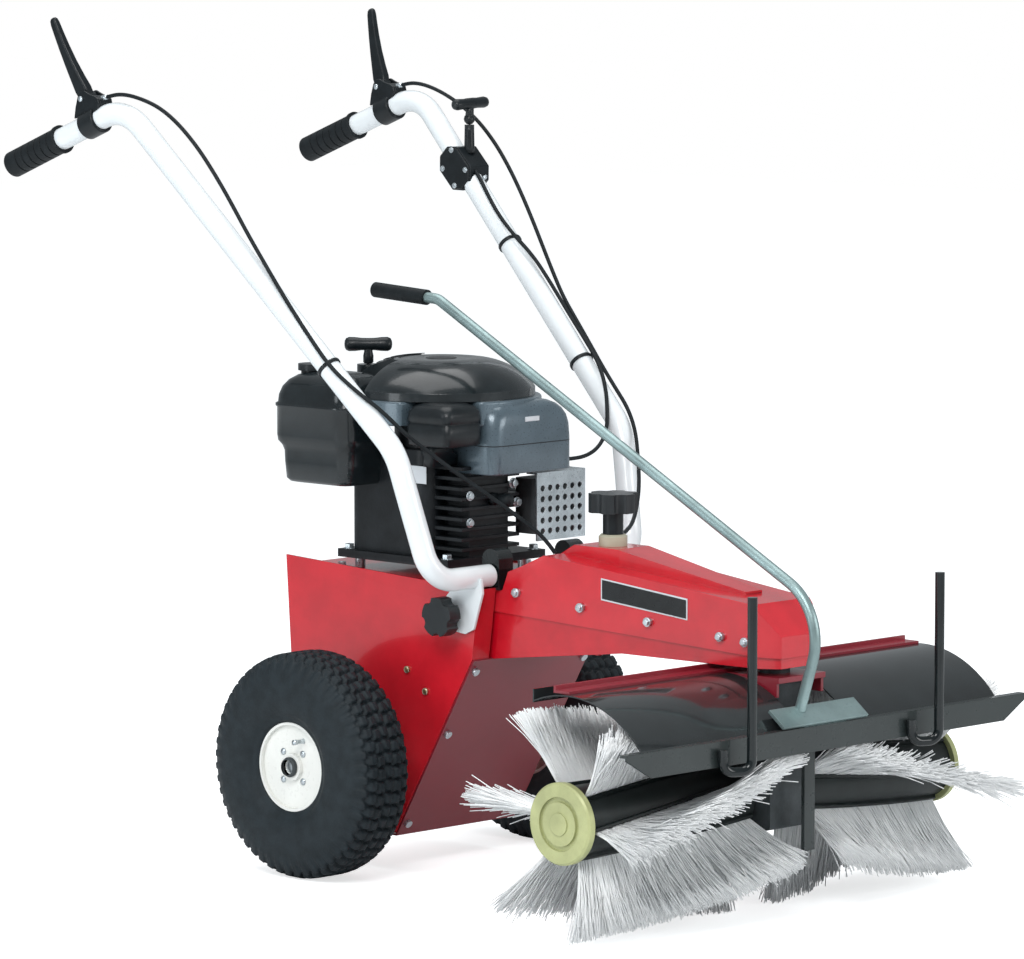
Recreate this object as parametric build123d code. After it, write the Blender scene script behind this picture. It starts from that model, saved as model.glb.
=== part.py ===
from build123d import *
import math
import os

# Walk-behind sweeper, millimetres, +Z up. The machine drives towards -Y, so its right side is -X.
# The model is drawn with the wheel axle above y = 0 and the floor at z = 0, and is moved at the end
# so that the origin lies under the middle of its bounding box.

# ---- Driving dimensions -------------------------------------------------------------------------
FIT = 0.05                    # radial running fit of a pin or shaft in its bore
GAP = 0.3                     # clearance between curved faces of different pieces
SHEET = 3.0                   # thickness of the sheet-steel body

WHEEL_RADIUS = 167.5
WHEEL_WIDTH = 112.0
WHEEL_MID_X = 248.0           # centre plane of each tyre
RIM_RADIUS = 66.0
AXLE_RADIUS = 10.0
HUB_RADIUS = 20.0

BODY_HALF_WIDTH = 128.0       # outside of the side plates
DECK_TOP = 440.0
DECK_THICKNESS = 4.0
DECK_REAR_Y = 165.0
DECK_FRONT_Y = -192.0

BOOM_REAR_HALF = 85.0         # half width of the boom tray at the body
BOOM_NOSE_HALF = 57.0         # half width of the boom tray at the nose
BOOM_REAR_Y = 60.0
BOOM_TAPER_Y = -214.0
BOOM_NOSE_Y = -735.0
BOOM_FLOOR_REAR = 328.0
BOOM_FLOOR_FRONT = 357.0
SEAM_REAR_Z = 400.0           # lower edge of the boom cover at the body
SEAM_NOSE_Z = 372.0           # lower edge of the boom cover at the nose
TRAY_OVERLAP = 12.0           # height of the tray's rim above the cover's lower edge
COVER_STEP_Z = 431.0          # flat step at the rear of the cover, under the handle blocks
COVER_PEAK_Z = 488.0
RIDGE_TOP_Z = 501.0

PIVOT_Y = -690.0              # vertical axis on which the brush head swivels
NECK_RADIUS = 22.0            # hollow neck of the gearbox in the floor of the boom
HEAD_PLATE_TOP = 346.0

BRUSH_Y = -645.0
BRUSH_Z = 168.0
BRUSH_TIP_RADIUS = 167.5
BRUSH_TUBE_RADIUS = 50.0
BRUSH_INNER_X = 47.0          # inner end of each brush half
BRUSH_OUTER_X = 386.0         # outer end of each brush half
BRUSH_SHAFT_RADIUS = 12.5
BRISTLE_ROWS = 6
BRISTLE_TWIST = 40.0          # degrees that a row turns along one brush half
BRISTLE_PHASE = 30.0          # degrees from the rear to the first row's inner end
RING_RADIUS = 58.0
RING_THICKNESS = 12.0

WORM_PITCH_RADIUS = 12.0
GEARCASE_HALF_WIDTH = 38.0

HOOD_RADIUS = 178.0           # outside of the hood about the brush axis
HOOD_SHEET = 2.0
HOOD_INNER_X = 54.0
HOOD_OUTER_X = 380.0
HOOD_FRONT_ANGLE = 31.6       # degrees above the horizontal, in front of the brush
HOOD_REAR_ANGLE = 112.0

RAIL_Y = -799.0               # middle plane of the front rail
RAIL_HALF_WIDTH = 428.0
RAIL_BOTTOM = 247.0
RAIL_TOP = 283.0
RAIL_SHEET = 4.0

BELT_Z = 384.0                # middle plane of the brush belt
BELT_WIDTH = 10.0
BELT_THICKNESS = 8.0
ENGINE_PULLEY_RADIUS = 36.0
BRUSH_PULLEY_RADIUS = 28.0
CRANK_RADIUS = 12.5
ENGINE_Y = -26.0              # crankshaft axis
BLOCK_BOTTOM = 456.0
BLOCK_TOP = 625.0
HOUSING_RADIUS = 150.0
HOUSING_BOTTOM = 664.0
HOUSING_TOP = 700.0
DOME_RADIUS = 140.0
DOME_TOP = 754.0

TUBE_RADIUS = 16.75           # handle tubes
TUBE_WALL = 2.5
TUBE_BORE = TUBE_RADIUS - TUBE_WALL
TUBE_SILL = 1.25               # clearance between a handle tube and the side plate under it
HANDLE_PIVOT_Y = -217.0
HANDLE_PIVOT_Z = 452.0
HANDLE_END_X = 95.0           # inner end of each handle tube
HANDLE_BLOCK_X = 92.0         # outer face of each handle block
HANDLE_BLOCK_WIDTH = 30.0
HANDLE_STUB = 40.0            # length of the block's stub inside the tube
GRIP_X = 311.0
GRIP_WALL = 3.25
GRIP_RADIUS = TUBE_RADIUS + GRIP_WALL
GRIP_LENGTH = 118.0
TUBE_END_Y = 570.0             # rear end of each handle tube, inside its grip
BEND_Y = 327.0                 # bend between the grip end and the long run of each tube
BEND_Z = 1127.0
GRIP_FALL = 100 / 261          # drop of the grip end for each millimetre to the rear
HANDLE_SWING = 8.0            # degrees each way
CLAMP_Y = -182.0
CLAMP_Z = 394.0
CLAMP_BOLT_RADIUS = 5.0

LEVER_MOUNT_Y = 394.0          # middle of the lever bracket on the grip end of the tube
LEVER_PIVOT_Y = 408.2
LEVER_PIVOT_Z = 1136.1

ROD_X = -45.0                 # vertical plane of the steering rod
ROD_RADIUS = 8.0
KNOB_Y = -376.0               # axis of the height adjusting spindle
SPINDLE_RADIUS = 7.0

CABLE_RADIUS = 3.0
IDLER_PIVOT_Y = -400.0
IDLER_ARM = 70.0
IDLER_ROLLER_RADIUS = 9.0
IDLER_GAP = 6.0               # between the roller and the slack belt


# ---- Helpers ------------------------------------------------------------------------------------
def block(x0, x1, y0, y1, z0, z1):
    """Axis-aligned block between two corners."""
    centre = ((x0 + x1) / 2, (y0 + y1) / 2, (z0 + z1) / 2)
    return Pos(*centre) * Box(abs(x1 - x0), abs(y1 - y0), abs(z1 - z0))


def rod_x(radius, x0, x1, y, z):
    """Cylinder along X."""
    return Pos((x0 + x1) / 2, y, z) * Rot(0, 90, 0) * Cylinder(radius, abs(x1 - x0))


def rod_y(radius, y0, y1, x, z):
    """Cylinder along Y."""
    return Pos(x, (y0 + y1) / 2, z) * Rot(90, 0, 0) * Cylinder(radius, abs(y1 - y0))


def rod_z(radius, z0, z1, x=0.0, y=0.0):
    """Cylinder along Z."""
    return Pos(x, y, (z0 + z1) / 2) * Cylinder(radius, abs(z1 - z0))


def side_face(points):
    """Face in the YZ plane from (y, z) points."""
    return make_face(Polyline([(0, y, z) for y, z in points], close=True))


def side_prism(points, x0, x1):
    """Prism along X with a (y, z) outline."""
    return Pos(x0, 0, 0) * extrude(side_face(points), x1 - x0, dir=(1, 0, 0))


def plan_prism(points, z0, z1):
    """Prism along Z with an (x, y) outline."""
    face = make_face(Polyline([(x, y, z0) for x, y in points], close=True))
    return extrude(face, z1 - z0, dir=(0, 0, 1))


def strip(points, thickness, x0, x1):
    """Bent sheet along X that follows a path of (y, z) points, with the path on its outer face."""
    inner = offset_path(points, thickness)
    return side_prism(points + inner[::-1], x0, x1)


def offset_path(points, distance):
    """Open (y, z) path moved sideways, to the left of its direction, with mitred corners."""
    moved = []
    for index, (y, z) in enumerate(points):
        before = points[max(index - 1, 0)]
        after = points[min(index + 1, len(points) - 1)]
        first = unit((y - before[0], z - before[1])) if index > 0 else None
        second = unit((after[0] - y, after[1] - z)) if index < len(points) - 1 else None
        first = first or second
        second = second or first
        normal = unit((-first[1] - second[1], first[0] + second[0]))
        stretch = distance / (normal[0] * -first[1] + normal[1] * first[0])
        moved.append((y + normal[0] * stretch, z + normal[1] * stretch))
    return moved


def unit(vector):
    """Vector of length one in the same direction."""
    length = math.hypot(*vector)
    return (vector[0] / length, vector[1] / length)


def bent_bar(points, radii, radius, bore=0.0):
    """Round bar or tube along straight runs joined by tangent arcs."""
    path = FilletPolyline(points, radius=radii) if radii else Polyline(points)
    start = Plane(origin=path @ 0, z_dir=path % 0)
    section = start * Circle(radius)
    if bore:
        section -= start * Circle(bore)
    return sweep(section, path=path)


def mirrored(shape):
    """The same piece on the other side of the centre plane."""
    return mirror(shape, about=Plane.YZ)


def cord_tube(name, points):
    """Cable of straight runs and tangent arcs, each arc as large as its two runs allow."""
    vectors = [Vector(*point) for point in points]
    radii = []
    for before, corner, after in zip(vectors, vectors[1:], vectors[2:]):
        first = corner - before
        second = after - corner
        turn = math.radians(first.get_angle(second))
        radii.append(0.45 * min(first.length, second.length) / math.tan(turn / 2))
    path = FilletPolyline(points, radius=radii)
    tube = sweep(Plane(origin=path @ 0, z_dir=path % 0) * Circle(CABLE_RADIUS), path=path)
    expected = math.pi * CABLE_RADIUS ** 2 * path.length
    print(f"{name}: length {path.length:.1f} mm, smallest radius {min(radii):.1f} mm, "
          f"volume / (section x length) {tube.volume / expected:.4f}")
    print("   radii", [round(radius) for radius in radii])
    return tube


# ---- Chassis ------------------------------------------------------------------------------------
SIDE_TOP_Z = HANDLE_PIVOT_Z - TUBE_RADIUS - TUBE_SILL
SIDE_OUTLINE = [(175, 454), (-228, SIDE_TOP_Z), (-214, 330), (-55, 57), (60, 57), (150, 120),
                (165, 300)]
FRONT_EDGE = [(-228, SIDE_TOP_Z), (-214, 330), (-55, 57)]


def slot_cutter(x0, x1):
    """Curved slot in which a clamp bolt travels as the handle half tilts."""
    arm = math.hypot(CLAMP_Y - HANDLE_PIVOT_Y, CLAMP_Z - HANDLE_PIVOT_Z)
    half_width = CLAMP_BOLT_RADIUS + 1.0
    centre = math.degrees(math.atan2(CLAMP_Z - HANDLE_PIVOT_Z, CLAMP_Y - HANDLE_PIVOT_Y))
    spread = math.radians(HANDLE_SWING + 1.5)
    middle = math.radians(centre)
    steps = 6
    cutter = None
    for index in range(steps + 1):
        angle = middle - spread + 2 * spread * index / steps
        y = HANDLE_PIVOT_Y + arm * math.cos(angle)
        z = HANDLE_PIVOT_Z + arm * math.sin(angle)
        hole = rod_x(half_width, x0, x1, y, z)
        cutter = hole if cutter is None else cutter + hole
    return cutter


def side_plate():
    """Left side plate with its flange folded in along the front edge."""
    inner = BODY_HALF_WIDTH - SHEET
    plate = side_prism(SIDE_OUTLINE, inner, BODY_HALF_WIDTH)
    upper = strip(FRONT_EDGE[:2], SHEET, HANDLE_BLOCK_X, BODY_HALF_WIDTH - 1)
    lower = strip(FRONT_EDGE[1:], SHEET, BODY_HALF_WIDTH - 25, BODY_HALF_WIDTH - 1)
    plate = plate + upper + lower
    plate -= rod_x(AXLE_RADIUS + FIT, inner - 1, BODY_HALF_WIDTH + 1, 0, WHEEL_RADIUS)
    plate -= slot_cutter(inner - 1, BODY_HALF_WIDTH + 1)
    boom = BOOM_REAR_HALF + SHEET + 1
    return plate - block(0, boom, -260, -180, BOOM_FLOOR_REAR - 1, 500)


def front_plate():
    """Sloping front plate with a return flange along its lower edge."""
    half = BODY_HALF_WIDTH - 2
    outer = offset_path(FRONT_EDGE[1:], -SHEET)
    outer[1] = (outer[1][0] + 1.8, outer[1][1] - 3.1)
    outer.append((outer[1][0] + 40, outer[1][1]))
    plate = strip(outer, SHEET - 0.05, -half, half)
    tray = BOOM_REAR_HALF + 1
    return plate - block(-tray, tray, -260, -180, BOOM_FLOOR_REAR - 0.1, BOOM_FLOOR_REAR + 20)


def engine_deck():
    """Engine plate with its rear panel folded down."""
    half = BODY_HALF_WIDTH - SHEET - 0.2
    bottom = DECK_TOP - DECK_THICKNESS
    deck = block(-half, half, DECK_FRONT_Y, DECK_REAR_Y, bottom, DECK_TOP)
    deck += block(-half, half, DECK_REAR_Y - SHEET - 8, DECK_REAR_Y - 8, 310, bottom + 1)
    return deck - rod_z(CRANK_RADIUS + 10, bottom - 1, DECK_TOP + 1, 0, ENGINE_Y)


def chassis_bolts():
    """Visible bolts of the front plate, the side plates and the boom cover."""
    slope = math.degrees(math.atan2(FRONT_EDGE[2][0] - FRONT_EDGE[1][0],
                                    FRONT_EDGE[1][1] - FRONT_EDGE[2][1]))
    taper = math.degrees(math.atan2(BOOM_REAR_HALF - BOOM_NOSE_HALF, BOOM_TAPER_Y - BOOM_NOSE_Y - 28))
    shapes = []
    for side in (-1, 1):
        for share in (0.06, 0.42, 0.94):
            y = FRONT_EDGE[1][0] + share * (FRONT_EDGE[2][0] - FRONT_EDGE[1][0])
            z = FRONT_EDGE[1][1] + share * (FRONT_EDGE[2][1] - FRONT_EDGE[1][1])
            place = Pos(side * (BODY_HALF_WIDTH - 13), y, z) * Rot(90 + slope, 0, 0)
            shapes.append(place * Pos(0, 0, SHEET + 2.55) * Cylinder(6, 5))
        for y, z in ((-82, 304), (-120, 275)):
            shapes.append(rod_x(5, side * BODY_HALF_WIDTH, side * (BODY_HALF_WIDTH + 3.5), y, z))
        for y, z in ((-265, 430), (-387, 418), (-513, 408), (-645, 398), (-690, 394)):
            place = Pos(side * (boom_half(y) + SHEET + 0.35), y, z) * Rot(0, 0, -side * taper)
            shapes.append(place * rod_x(6.5, 0, side * 4.5, 0, 0))
    for x in (-80, 80):
        for y in (-118, 66):
            shapes.append(rod_z(8, DECK_TOP, BLOCK_BOTTOM, x, y))
            shapes.append(rod_z(6, DECK_TOP, DECK_TOP + 9, x + math.copysign(24, x), y + 14))
    return Compound(children=shapes)


# ---- Boom ---------------------------------------------------------------------------------------
def boom_half(y):
    """Half width of the boom tray at a place along the boom."""
    share = (BOOM_TAPER_Y - y) / (BOOM_TAPER_Y - (BOOM_NOSE_Y + 28))
    share = min(max(share, 0.0), 1.0)
    return BOOM_REAR_HALF + share * (BOOM_NOSE_HALF - BOOM_REAR_HALF)


def seam_height(y):
    """Height of the cover's lower edge at a place along the boom."""
    share = (-200.0 - y) / (-200.0 - BOOM_NOSE_Y)
    return SEAM_REAR_Z + share * (SEAM_NOSE_Z - SEAM_REAR_Z)


def boom_plan(rear_y, outset, z0, z1):
    """Prism over the plan of the boom: straight, tapered, then a chamfered nose."""
    rear = BOOM_REAR_HALF + outset
    nose = BOOM_NOSE_HALF + outset
    tip = nose - 20
    nose_y = BOOM_NOSE_Y - outset
    corner_y = BOOM_NOSE_Y + 28 - outset * 0.4
    points = [(-rear, rear_y), (-rear, BOOM_TAPER_Y), (-nose, corner_y), (-tip, nose_y),
              (tip, nose_y), (nose, corner_y), (rear, BOOM_TAPER_Y), (rear, rear_y)]
    return plan_prism(points, z0, z1)


def boom_tray():
    """Lower shell of the boom, open at the top, which reaches back under the engine deck."""
    floor = [(BOOM_REAR_Y, BOOM_FLOOR_REAR), (BOOM_TAPER_Y, BOOM_FLOOR_REAR),
             (-460, BOOM_FLOOR_FRONT), (BOOM_NOSE_Y - 5, BOOM_FLOOR_FRONT)]
    rim = [(BOOM_NOSE_Y - 5, seam_height(BOOM_NOSE_Y) + TRAY_OVERLAP),
           (-200, SEAM_REAR_Z + TRAY_OVERLAP), (BOOM_REAR_Y, SEAM_REAR_Z + TRAY_OVERLAP)]
    outer = side_prism(floor + rim, -150, 150) & boom_plan(BOOM_REAR_Y, 0, 300, 450)
    raised = [(y, z + SHEET) for y, z in floor]
    hollow = raised + [(BOOM_NOSE_Y - 5, 450), (BOOM_REAR_Y, 450)]
    inner = side_prism(hollow, -150, 150) & boom_plan(BOOM_REAR_Y - SHEET, -SHEET, 300, 460)
    tray = outer - inner
    tray -= rod_z(NECK_RADIUS + FIT, 340, 370, 0, PIVOT_Y)
    boss = rod_z(NECK_RADIUS + 10, BOOM_FLOOR_FRONT, BOOM_FLOOR_FRONT + 8, 0, PIVOT_Y)
    boss -= rod_z(NECK_RADIUS + FIT, 340, 370, 0, PIVOT_Y)
    post = rod_z(6, BOOM_FLOOR_FRONT - 9, BELT_Z + 6, idler_pivot_x(), IDLER_PIVOT_Y)
    return tray + boss + post


def cover_outlines():
    """Side outlines of the cover and of its hollow."""
    top = [(-198, COVER_STEP_Z), (-236, COVER_STEP_Z), (-247, 459), (-270, 468),
           (-315, COVER_PEAK_Z), (-702, 448), (BOOM_NOSE_Y - 4, 402)]
    outer = [(-198, SEAM_REAR_Z)] + top + [(BOOM_NOSE_Y - 4, SEAM_NOSE_Z)]
    inner_top = offset_path(top, SHEET)
    inner = ([(-198 - SHEET, SEAM_REAR_Z - 20), (-198 - SHEET, COVER_STEP_Z - SHEET)]
             + inner_top[1:-1]
             + [(BOOM_NOSE_Y - 4 + SHEET, 401), (BOOM_NOSE_Y - 4 + SHEET, SEAM_NOSE_Z - 20)])
    return outer, inner


def ridge(shrink):
    """Raised spine along the middle of the cover, which carries the adjusting spindle."""
    low = 440.0
    half_rear = 34.0 - shrink
    half_front = 17.0 - shrink
    outline = [(-296 - shrink, low), (-296 - shrink, 482 - shrink), (-330, RIDGE_TOP_Z - shrink),
               (-415, RIDGE_TOP_Z - shrink), (-650, 458 - shrink), (-650 + shrink, low)]
    plan = [(-half_rear, -290), (-half_rear, -420), (-half_front, -660),
            (half_front, -660), (half_rear, -420), (half_rear, -290)]
    return side_prism(outline, -60, 60) & plan_prism(plan, 400, 520)


def boom_cover():
    """Upper shell of the boom, whose skirt overlaps the tray."""
    outer_outline, inner_outline = cover_outlines()
    outset = SHEET + 0.2
    outer = side_prism(outer_outline, -150, 150) & boom_plan(-198, outset, 300, 520)
    inner = side_prism(inner_outline, -150, 150) & boom_plan(-198 - SHEET, 0.2, 300, 520)
    cover = (outer + ridge(0)) - (inner + ridge(SHEET))
    skirt = BOOM_REAR_HALF + 0.2
    cover -= block(-skirt, skirt, -202, -197, SEAM_REAR_Z - 1, SEAM_REAR_Z + TRAY_OVERLAP + 0.5)
    return cover - rod_z(SPINDLE_RADIUS + FIT, 470, 520, 0, KNOB_Y)


def handle_blocks():
    """Mounting block of each handle half, whose stub enters the tube."""
    outer = -HANDLE_BLOCK_X
    inner = outer + HANDLE_BLOCK_WIDTH
    right = block(outer, inner, HANDLE_PIVOT_Y - 17, HANDLE_PIVOT_Y + 17, COVER_STEP_Z, 476)
    right += rod_x(17, outer, inner, HANDLE_PIVOT_Y, 474)
    stub_end = -HANDLE_END_X - HANDLE_STUB
    right += rod_x(TUBE_BORE - FIT, stub_end, outer, HANDLE_PIVOT_Y, HANDLE_PIVOT_Z)
    return Compound(children=[right, mirrored(right)])


def lock_ring():
    """Plastic lock ring of the spindle on the spine of the cover."""
    ring = rod_z(21, RIDGE_TOP_Z, RIDGE_TOP_Z + 17, 0, KNOB_Y)
    ring = chamfer(ring.edges().group_by(Axis.Z)[-1], 3)
    return ring - rod_z(SPINDLE_RADIUS + FIT, 490, 530, 0, KNOB_Y)


def star_plate(radius, lobes, thickness):
    """Knob head with scalloped edge, centred at the origin, along Z."""
    head = Cylinder(radius, thickness)
    for index in range(lobes):
        angle = 2 * math.pi * index / lobes
        reach = radius * 1.12
        head -= Pos(reach * math.cos(angle), reach * math.sin(angle), 0) * Cylinder(radius * 0.3, 60)
    return head


def height_knob():
    """Star knob on its spindle, which turns in the cover and the lock ring."""
    knob = rod_z(SPINDLE_RADIUS, 462, 524, 0, KNOB_Y)
    knob += rod_z(15, RIDGE_TOP_Z + 17 + GAP, 550, 0, KNOB_Y)
    return knob + Pos(0, KNOB_Y, 564) * star_plate(36, 6, 28)


# ---- Belt drive ---------------------------------------------------------------------------------
def pulley(radius, y, bore):
    """Pulley with two flanges, whose groove holds the belt."""
    half = BELT_WIDTH / 2 + 0.3
    wheel = rod_z(radius, BELT_Z - half, BELT_Z + half, 0, y)
    wheel += rod_z(radius + BELT_THICKNESS, BELT_Z - half - 3, BELT_Z - half, 0, y)
    wheel += rod_z(radius + BELT_THICKNESS, BELT_Z + half, BELT_Z + half + 3, 0, y)
    return wheel - rod_z(bore, BELT_Z - 40, BELT_Z + 40, 0, y)


def belt_face(extra):
    """Outline round both pulleys at a distance from their grooves."""
    near = Pos(0, ENGINE_Y, 0) * Circle(ENGINE_PULLEY_RADIUS + extra)
    far = Pos(0, PIVOT_Y, 0) * Circle(BRUSH_PULLEY_RADIUS + extra)
    return make_hull((near + far).edges())


def brush_belt():
    """V-belt from the engine to the brush."""
    ring = belt_face(GAP + BELT_THICKNESS) - belt_face(GAP)
    return Pos(0, 0, BELT_Z - BELT_WIDTH / 2) * extrude(ring, BELT_WIDTH, dir=(0, 0, 1))


def belt_outer_x(y):
    """Outside of the belt's straight run beside a place along the boom."""
    share = (ENGINE_Y - y) / (ENGINE_Y - PIVOT_Y)
    radius = ENGINE_PULLEY_RADIUS + share * (BRUSH_PULLEY_RADIUS - ENGINE_PULLEY_RADIUS)
    return radius + GAP + BELT_THICKNESS


def idler_pivot_x():
    """The arm lies parallel to the machine when the roller is off the belt."""
    roller_y = IDLER_PIVOT_Y + IDLER_ARM
    return -(belt_outer_x(roller_y) + IDLER_ROLLER_RADIUS + IDLER_GAP)


def belt_idler():
    """Tensioning arm and its roller, outside the belt."""
    x = idler_pivot_x()
    roller_y = IDLER_PIVOT_Y + IDLER_ARM
    arm = block(x - 6, x + 6, IDLER_PIVOT_Y, roller_y, BELT_Z - 13, BELT_Z - 9)
    arm += rod_z(9, BELT_Z - 13, BELT_Z - 2, x, IDLER_PIVOT_Y)
    arm += rod_z(4, BELT_Z - 13, BELT_Z + 8, x, roller_y)
    arm -= rod_z(6 + FIT, BELT_Z - 20, BELT_Z + 20, x, IDLER_PIVOT_Y)
    roller = rod_z(IDLER_ROLLER_RADIUS, BELT_Z - 6, BELT_Z + 6, x, roller_y)
    roller -= rod_z(4, BELT_Z - 20, BELT_Z + 20, x, roller_y)
    return Compound(children=[arm, roller])


def crankshaft():
    """Vertical crankshaft below the engine."""
    return rod_z(CRANK_RADIUS, BELT_Z - 14, BLOCK_BOTTOM + 60, 0, ENGINE_Y)


# ---- Engine -------------------------------------------------------------------------------------
def engine_block():
    """Crankcase with its mounting foot, cylinder barrel and cooling fins."""
    y0, y1 = ENGINE_Y - 115, ENGINE_Y + 115
    foot = block(-104, 104, y0, y1, BLOCK_BOTTOM, BLOCK_BOTTOM + 12)
    case = block(-92, 92, ENGINE_Y - 60, y1 - 10, BLOCK_BOTTOM + 12, BLOCK_TOP)
    case = fillet(case.edges().filter_by(Axis.Z), 22)
    body = foot + case + rod_z(HOUSING_RADIUS - 80, BLOCK_TOP, HOUSING_BOTTOM, 0, ENGINE_Y)
    barrel_y = ENGINE_Y - 82
    body += block(-52, 30, y0 + 6, ENGINE_Y - 50, BLOCK_BOTTOM + 12, BLOCK_TOP - 8)
    fins = 9
    for index in range(fins):
        z = BLOCK_BOTTOM + 22 + index * 15
        body += block(-74, 48, barrel_y - 33, barrel_y + 26, z, z + 5)
    return body - rod_z(CRANK_RADIUS + FIT, BLOCK_BOTTOM - 1, BLOCK_BOTTOM + 61, 0, ENGINE_Y)


def filter_space(extra):
    """Space of the air filter box, grown by a clearance."""
    e = extra
    return block(-136 - e, -58 + e, -172 - e, -82 + e, 636, HOUSING_TOP + 2)


def tank_space(extra):
    """Space of the fuel tank's shoulder, grown by a clearance."""
    return block(-178 - extra, -66, -2 - extra, 200, 560, 760)


def blower_housing():
    """Grey blower housing: a round deck with a shroud over the cylinder in front."""
    deck = rod_z(HOUSING_RADIUS, HOUSING_BOTTOM, HOUSING_TOP, 0, ENGINE_Y)
    shroud = block(-54, 122, -186, -80, 592, HOUSING_TOP - 4)
    shroud = fillet(shroud.edges().filter_by(Axis.Z), 22)
    shroud = fillet(shroud.edges().group_by(Axis.Z)[-1], 10)
    hollow = block(-50, 118, -182, -76, 580, HOUSING_BOTTOM)
    shroud -= fillet(hollow.edges().filter_by(Axis.Z), 18)
    shroud -= block(-93, 93, -142, 0, 580, BLOCK_TOP + 1)
    shell = deck + shroud
    shell -= filter_space(0.5)
    return shell - tank_space(0.5)


def starter_cover():
    """Black domed starter cover with the rope guide at its rear edge."""
    low = HOUSING_TOP
    profile = make_face([
        Line((0, 0, low), (DOME_RADIUS, 0, low)),
        Line((DOME_RADIUS, 0, low), (DOME_RADIUS, 0, low + 12)),
        ThreePointArc((DOME_RADIUS, 0, low + 12), (96, 0, DOME_TOP - 8), (40, 0, DOME_TOP)),
        Line((40, 0, DOME_TOP), (0, 0, DOME_TOP)),
        Line((0, 0, DOME_TOP), (0, 0, low)),
    ])
    dome = Pos(0, ENGINE_Y, 0) * revolve(profile, Axis.Z)
    dome -= tank_space(0.5)
    dome += rod_z(17, low, 738, -20, 108)
    return dome - rod_z(4.5, 728, 739, -20, 108)


def recoil_grip():
    """T-shaped starter grip on the end of its rope."""
    grip = Pos(-20, 108, 768) * Rot(0, 0, -45) * Rot(0, 90, 0) * Cylinder(11, 72)
    grip += rod_z(8, 738 + GAP, 768, -20, 108)
    return grip + rod_z(3.5, 729, 745, -20, 108)


def fuel_tank():
    """Fuel tank beside the engine, narrower below its moulded step."""
    upper = block(-174, -66, 2, 160, 628, 734)
    upper = fillet(upper.edges().filter_by(Axis.Z), 24)
    upper = fillet(upper.edges().group_by(Axis.Z)[-1], 14)
    lower = block(-164, -66, 12, 148, 568, 628)
    lower = fillet(lower.edges().filter_by(Axis.Z), 20)
    rim = block(-177, -70, 2, 163, 682, 688)
    rim = fillet(rim.edges().filter_by(Axis.Z), 24)
    tank = upper + lower + rim
    tank -= rod_z(HOUSING_RADIUS + 1, 500, 760, 0, ENGINE_Y)
    return tank - rod_z(20, 722, 740, -118, 124)


def fuel_cap():
    """Ribbed fuel cap."""
    cap = rod_z(19.5, 722 + GAP, 743, -118, 124)
    return cap + rod_z(24, 734 + GAP, 744, -118, 124)


def air_filter_box():
    """Air filter box in front of the tank."""
    box = block(-136, -58, -172, -82, 636, HOUSING_TOP)
    box = fillet(box.edges().filter_by(Axis.Z), 10)
    neck = block(-110, -80, -120, -90, 604, 637)
    return box + neck + block(-110, -52, -116, -94, 604, 616)


def muffler():
    """Muffler at the front left of the engine."""
    can = block(66, 146, -160, -108, 494, 576)
    can = fillet(can.edges().filter_by(Axis.Z), 14)
    return can + rod_y(13, -110, -60, 108, 540) + block(92, 122, -62, ENGINE_Y - 20, 524, 556)


def muffler_guard():
    """Perforated heat guard round the front and the outer end of the muffler."""
    guard = block(54, 158, -172, -169, 486, 588)
    guard += block(155, 158, -172, -112, 486, 588)
    guard += block(54, 158, -172, -150, 585, 588)
    holes = Compound(children=[
        rod_y(4.5, -180, -160, 66 + 16 * column, 500 + 16 * row)
        for column in range(6) for row in range(5)])
    bracket = block(110, 130, -170, -159.5, 576, 585)
    return guard - holes + bracket


# ---- Wheels and axle ----------------------------------------------------------------------------
def axle_shaft():
    """Axle through the body and the transmission."""
    reach = WHEEL_MID_X + 40
    return rod_x(AXLE_RADIUS, -reach, reach, 0, WHEEL_RADIUS)


def transmission_case():
    """Worm transmission round the axle, hung from the boom tray."""
    case = block(-42, 42, -40, 44, WHEEL_RADIUS - 44, WHEEL_RADIUS + 44)
    case = fillet(case.edges().filter_by(Axis.X), 20)
    case += rod_z(20, WHEEL_RADIUS + 40, BOOM_FLOOR_REAR, 0, 30)
    return case - rod_x(AXLE_RADIUS + FIT, -60, 60, 0, WHEEL_RADIUS)


def tyre():
    """Left tyre with rounded shoulders and circumferential grooves."""
    half = WHEEL_WIDTH / 2
    outline = make_face([
        Line((-half + 14, 0, RIM_RADIUS), (half - 14, 0, RIM_RADIUS)),
        Line((half - 14, 0, RIM_RADIUS), (half - 4, 0, RIM_RADIUS + 18)),
        ThreePointArc((half - 4, 0, RIM_RADIUS + 18), (half, 0, 118), (half - 6, 0, 146)),
        ThreePointArc((half - 6, 0, 146), (half - 14, 0, 160), (half - 32, 0, WHEEL_RADIUS)),
        Line((half - 32, 0, WHEEL_RADIUS), (-half + 32, 0, WHEEL_RADIUS)),
        ThreePointArc((-half + 32, 0, WHEEL_RADIUS), (-half + 14, 0, 160), (-half + 6, 0, 146)),
        ThreePointArc((-half + 6, 0, 146), (-half, 0, 118), (-half + 4, 0, RIM_RADIUS + 18)),
        Line((-half + 4, 0, RIM_RADIUS + 18), (-half + 14, 0, RIM_RADIUS)),
    ])
    body = revolve(outline, Axis.X)
    for x in (-15, 15):
        groove = rod_x(WHEEL_RADIUS + 1, x - 3, x + 3, 0, 0) - rod_x(WHEEL_RADIUS - 6, x - 4, x + 4, 0, 0)
        body -= groove
    return Pos(WHEEL_MID_X, 0, WHEEL_RADIUS) * body


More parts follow.
